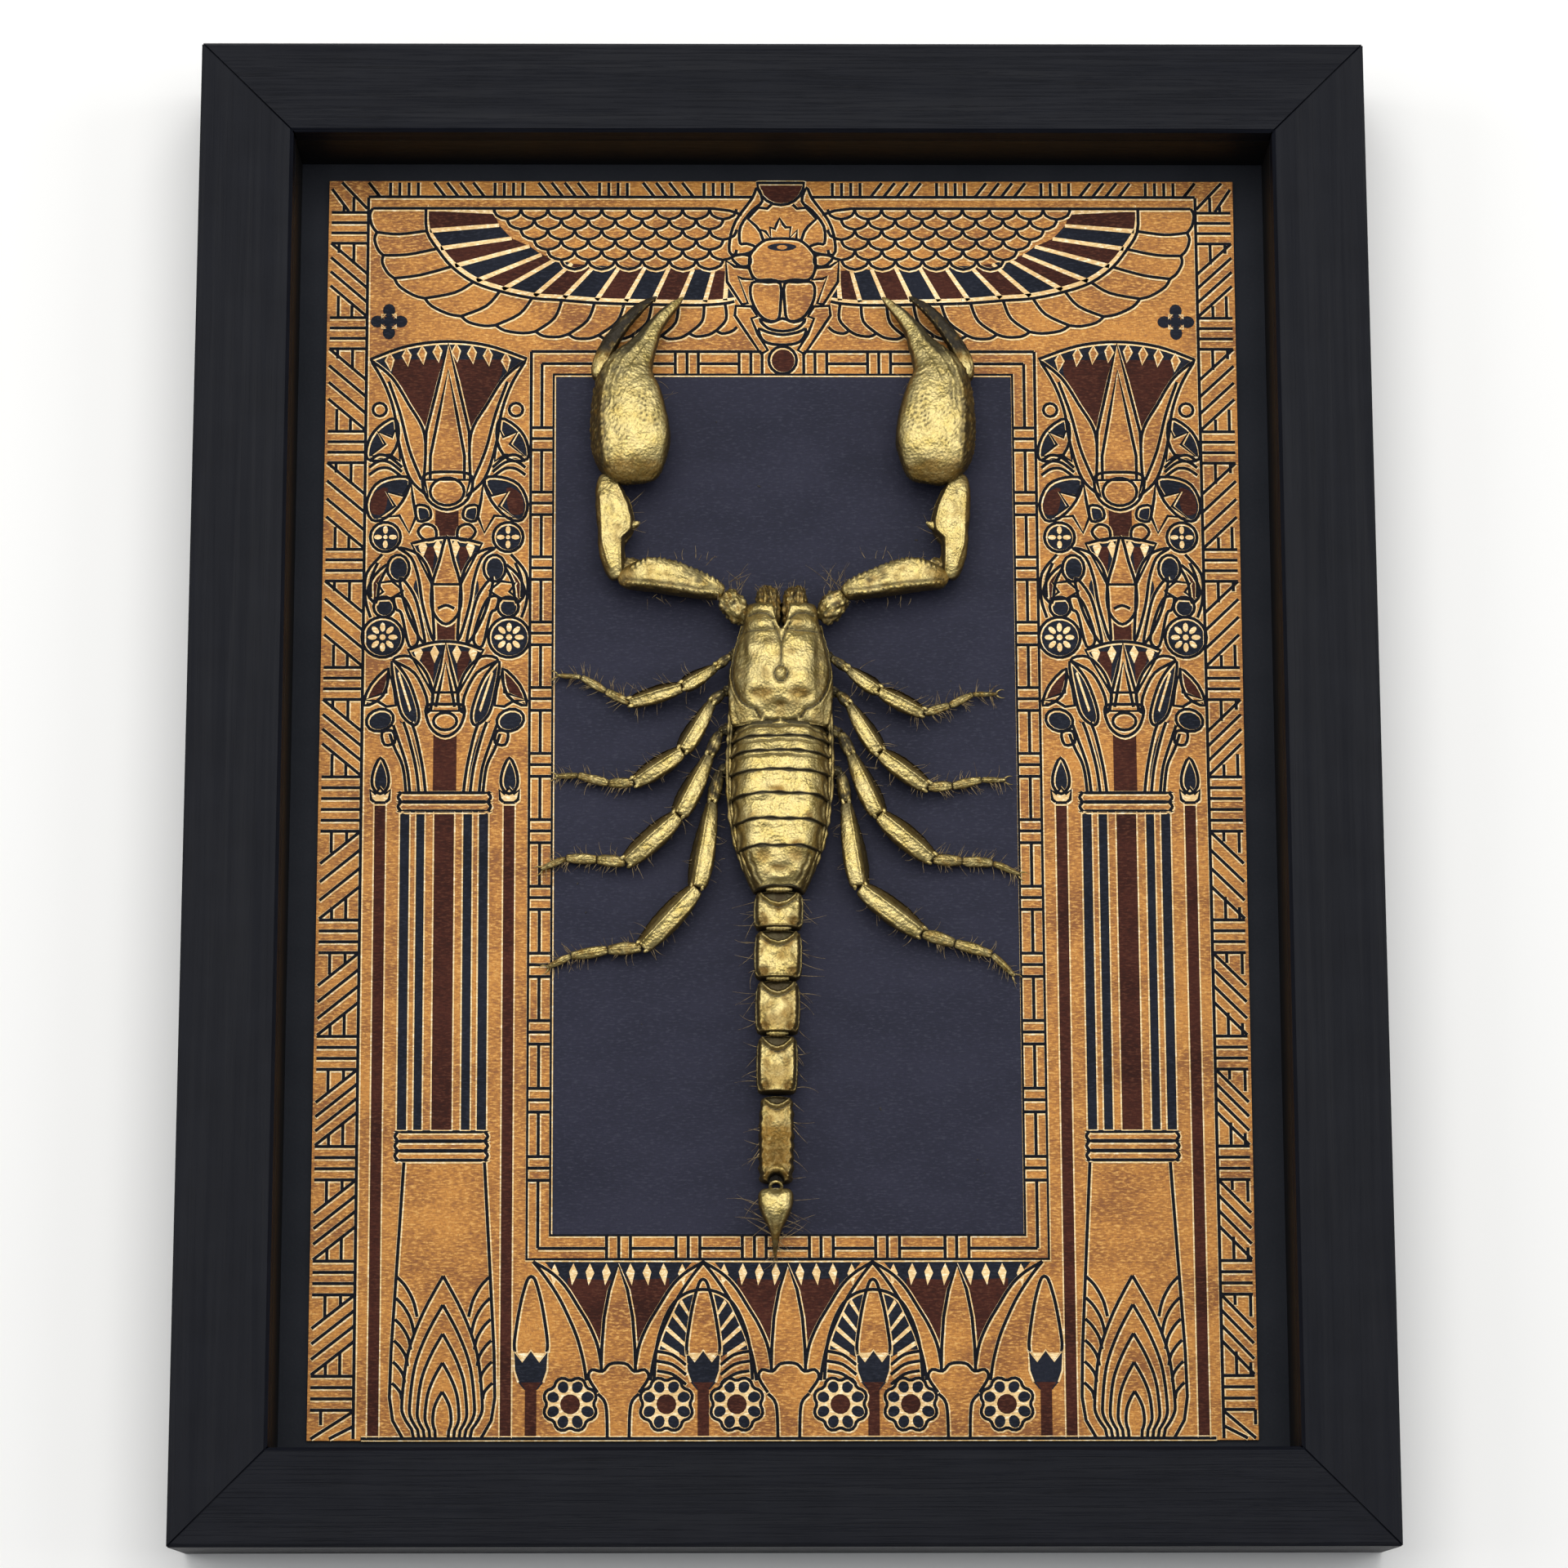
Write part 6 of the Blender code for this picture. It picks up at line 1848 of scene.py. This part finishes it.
def make_dust():
    """Crumbs lying on the navy panel."""
    rng = np.random.default_rng(7)
    crumbs = []
    spots = [(-4.3, 56.0), (-36.5, -16.8), (-25.0, -42.0), (-27.5, 14.5), (-35.0, -22.0), (24.0, 46.0), (34.0, -66.0),
             (35.2, -68.4), (-12.0, 68.0), (17.0, -57.0), (-31.0, 60.0), (30.0, 20.0)]
    for x, y in spots:
        radius = rng.uniform(0.12, 0.26) * MM
        stretch = Matrix.Rotation(rng.uniform(0, 3), 4, "Z") @ Matrix.Diagonal((rng.uniform(0.7, 2.2), 0.8, 0.5, 1))
        place = Matrix.Translation((x * MM, y * MM, (PRINT_TOP + 0.15) * MM)) @ stretch
        crumbs.append(shaped(bpy.ops.mesh.primitive_ico_sphere_add, place, subdivisions=1, radius=radius))
    place_piece(join_as("dust_crumbs", crumbs), dust_finish())


def dust_finish():
    return plain_finish("dust", (0.02, 0.018, 0.015), 0.9, (0.2, 2.0),
                        ((0.006, 0.006, 0.007), (0.06, 0.05, 0.04)), (0.8, 0.95), spread=(0.35, 0.65))


def bristle_finish():
    return plain_finish("bristle_shell", (0.30, 0.20, 0.09), 0.4, (1.2, 3.0),
                        ((0.07, 0.042, 0.02), (0.42, 0.31, 0.15)), (0.35, 0.55), spread=(0.35, 0.65), metallic=0.5)


def make_scorpion():
    gold = gold_paint_finish()
    make_carapace(gold)
    make_tergites(gold)
    make_side_folds(gold)
    make_tail(gold)
    make_telson(gold)
    for side, word in ((1, "right"), (-1, "left")):
        make_chelicera(side, word, gold)
        make_upper_arm(side, word, gold)
        make_forearm(side, word, gold)
        make_hand(side, word, gold)
        make_finger(side, word, gold)
    for name, joints in LEGS.items():
        make_leg(name, joints, gold)
    make_bristles(bristle_finish())
    make_dust()


def dress_frame():
    across, upright = painted_wood("black_wood_across", True), painted_wood("black_wood_upright", False)
    spacer, card, board, steel = spacer_finish(), navy_card_finish(), board_finish(), steel_finish()
    for name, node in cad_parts.items():
        finish = None
        if name.startswith("rail_"):
            finish = across if name in ("rail_top", "rail_bottom") else upright
        elif name.startswith("spacer_"):
            finish = spacer
        elif name == "mount_card":
            finish = card
        elif name == "backing_board":
            finish = board
        elif name.startswith(("retaining_tab", "sawtooth")):
            finish = steel
        if finish is not None:
            node.data.materials.clear()
            node.data.materials.append(finish)
    glue_mitres(upright)


# The rails' section at a mitre: how far in from the outer edge, and how high.
MITRE_SECTION = [(0.15, 0.2), (11.6, 0.2), (11.6, 22.5), (16.6, 22.5), (16.6, 26.7), (0.65, 26.7), (0.15, 26.2)]
GLUE_HALF = 0.12


def glue_mitres(finish):
    """The painted glue that closes the hairline between the rails at each corner."""
    right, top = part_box("rail_right")[1].x / MM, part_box("rail_top")[1].y / MM
    outline = [(inward * math.sqrt(2), height, 0, 1) for inward, height in MITRE_SECTION]
    seams = []
    for x, y in ((-right, -top), (right, -top), (right, top), (-right, top)):
        inward = Vector((-x / right, -y / top, 0)).normalized()
        stand = Matrix((inward, UP, inward.cross(UP))).transposed().to_4x4()
        seam = make_curve("mitre_glue", [(outline, True)], GLUE_HALF, filled=True)
        seams.append((seam, Matrix.Translation((x * MM, y * MM, 0)) @ stand))
    place_piece(weld_plates("mitre_glue", seams), finish)


def lay_floor():
    bpy.ops.object.select_all(action="DESELECT")
    bpy.ops.mesh.primitive_plane_add(size=6.0, location=(0, 0, -0.0002))
    floor = bpy.context.object
    floor.name = "floor"
    finish = Finish("pale_floor", (0.9, 0.9, 0.9), 0.8, specular=0.1)
    cloud = finish.noise(180.0, 2.0)
    finish.colour(finish.mix(cloud, (0.93, 0.93, 0.93), (0.95, 0.95, 0.95)))
    floor.data.materials.append(finish.material)


def main():
    aim_camera()
    light_studio()
    lay_floor()
    dress_frame()
    dress_print()
    make_scorpion()

main()
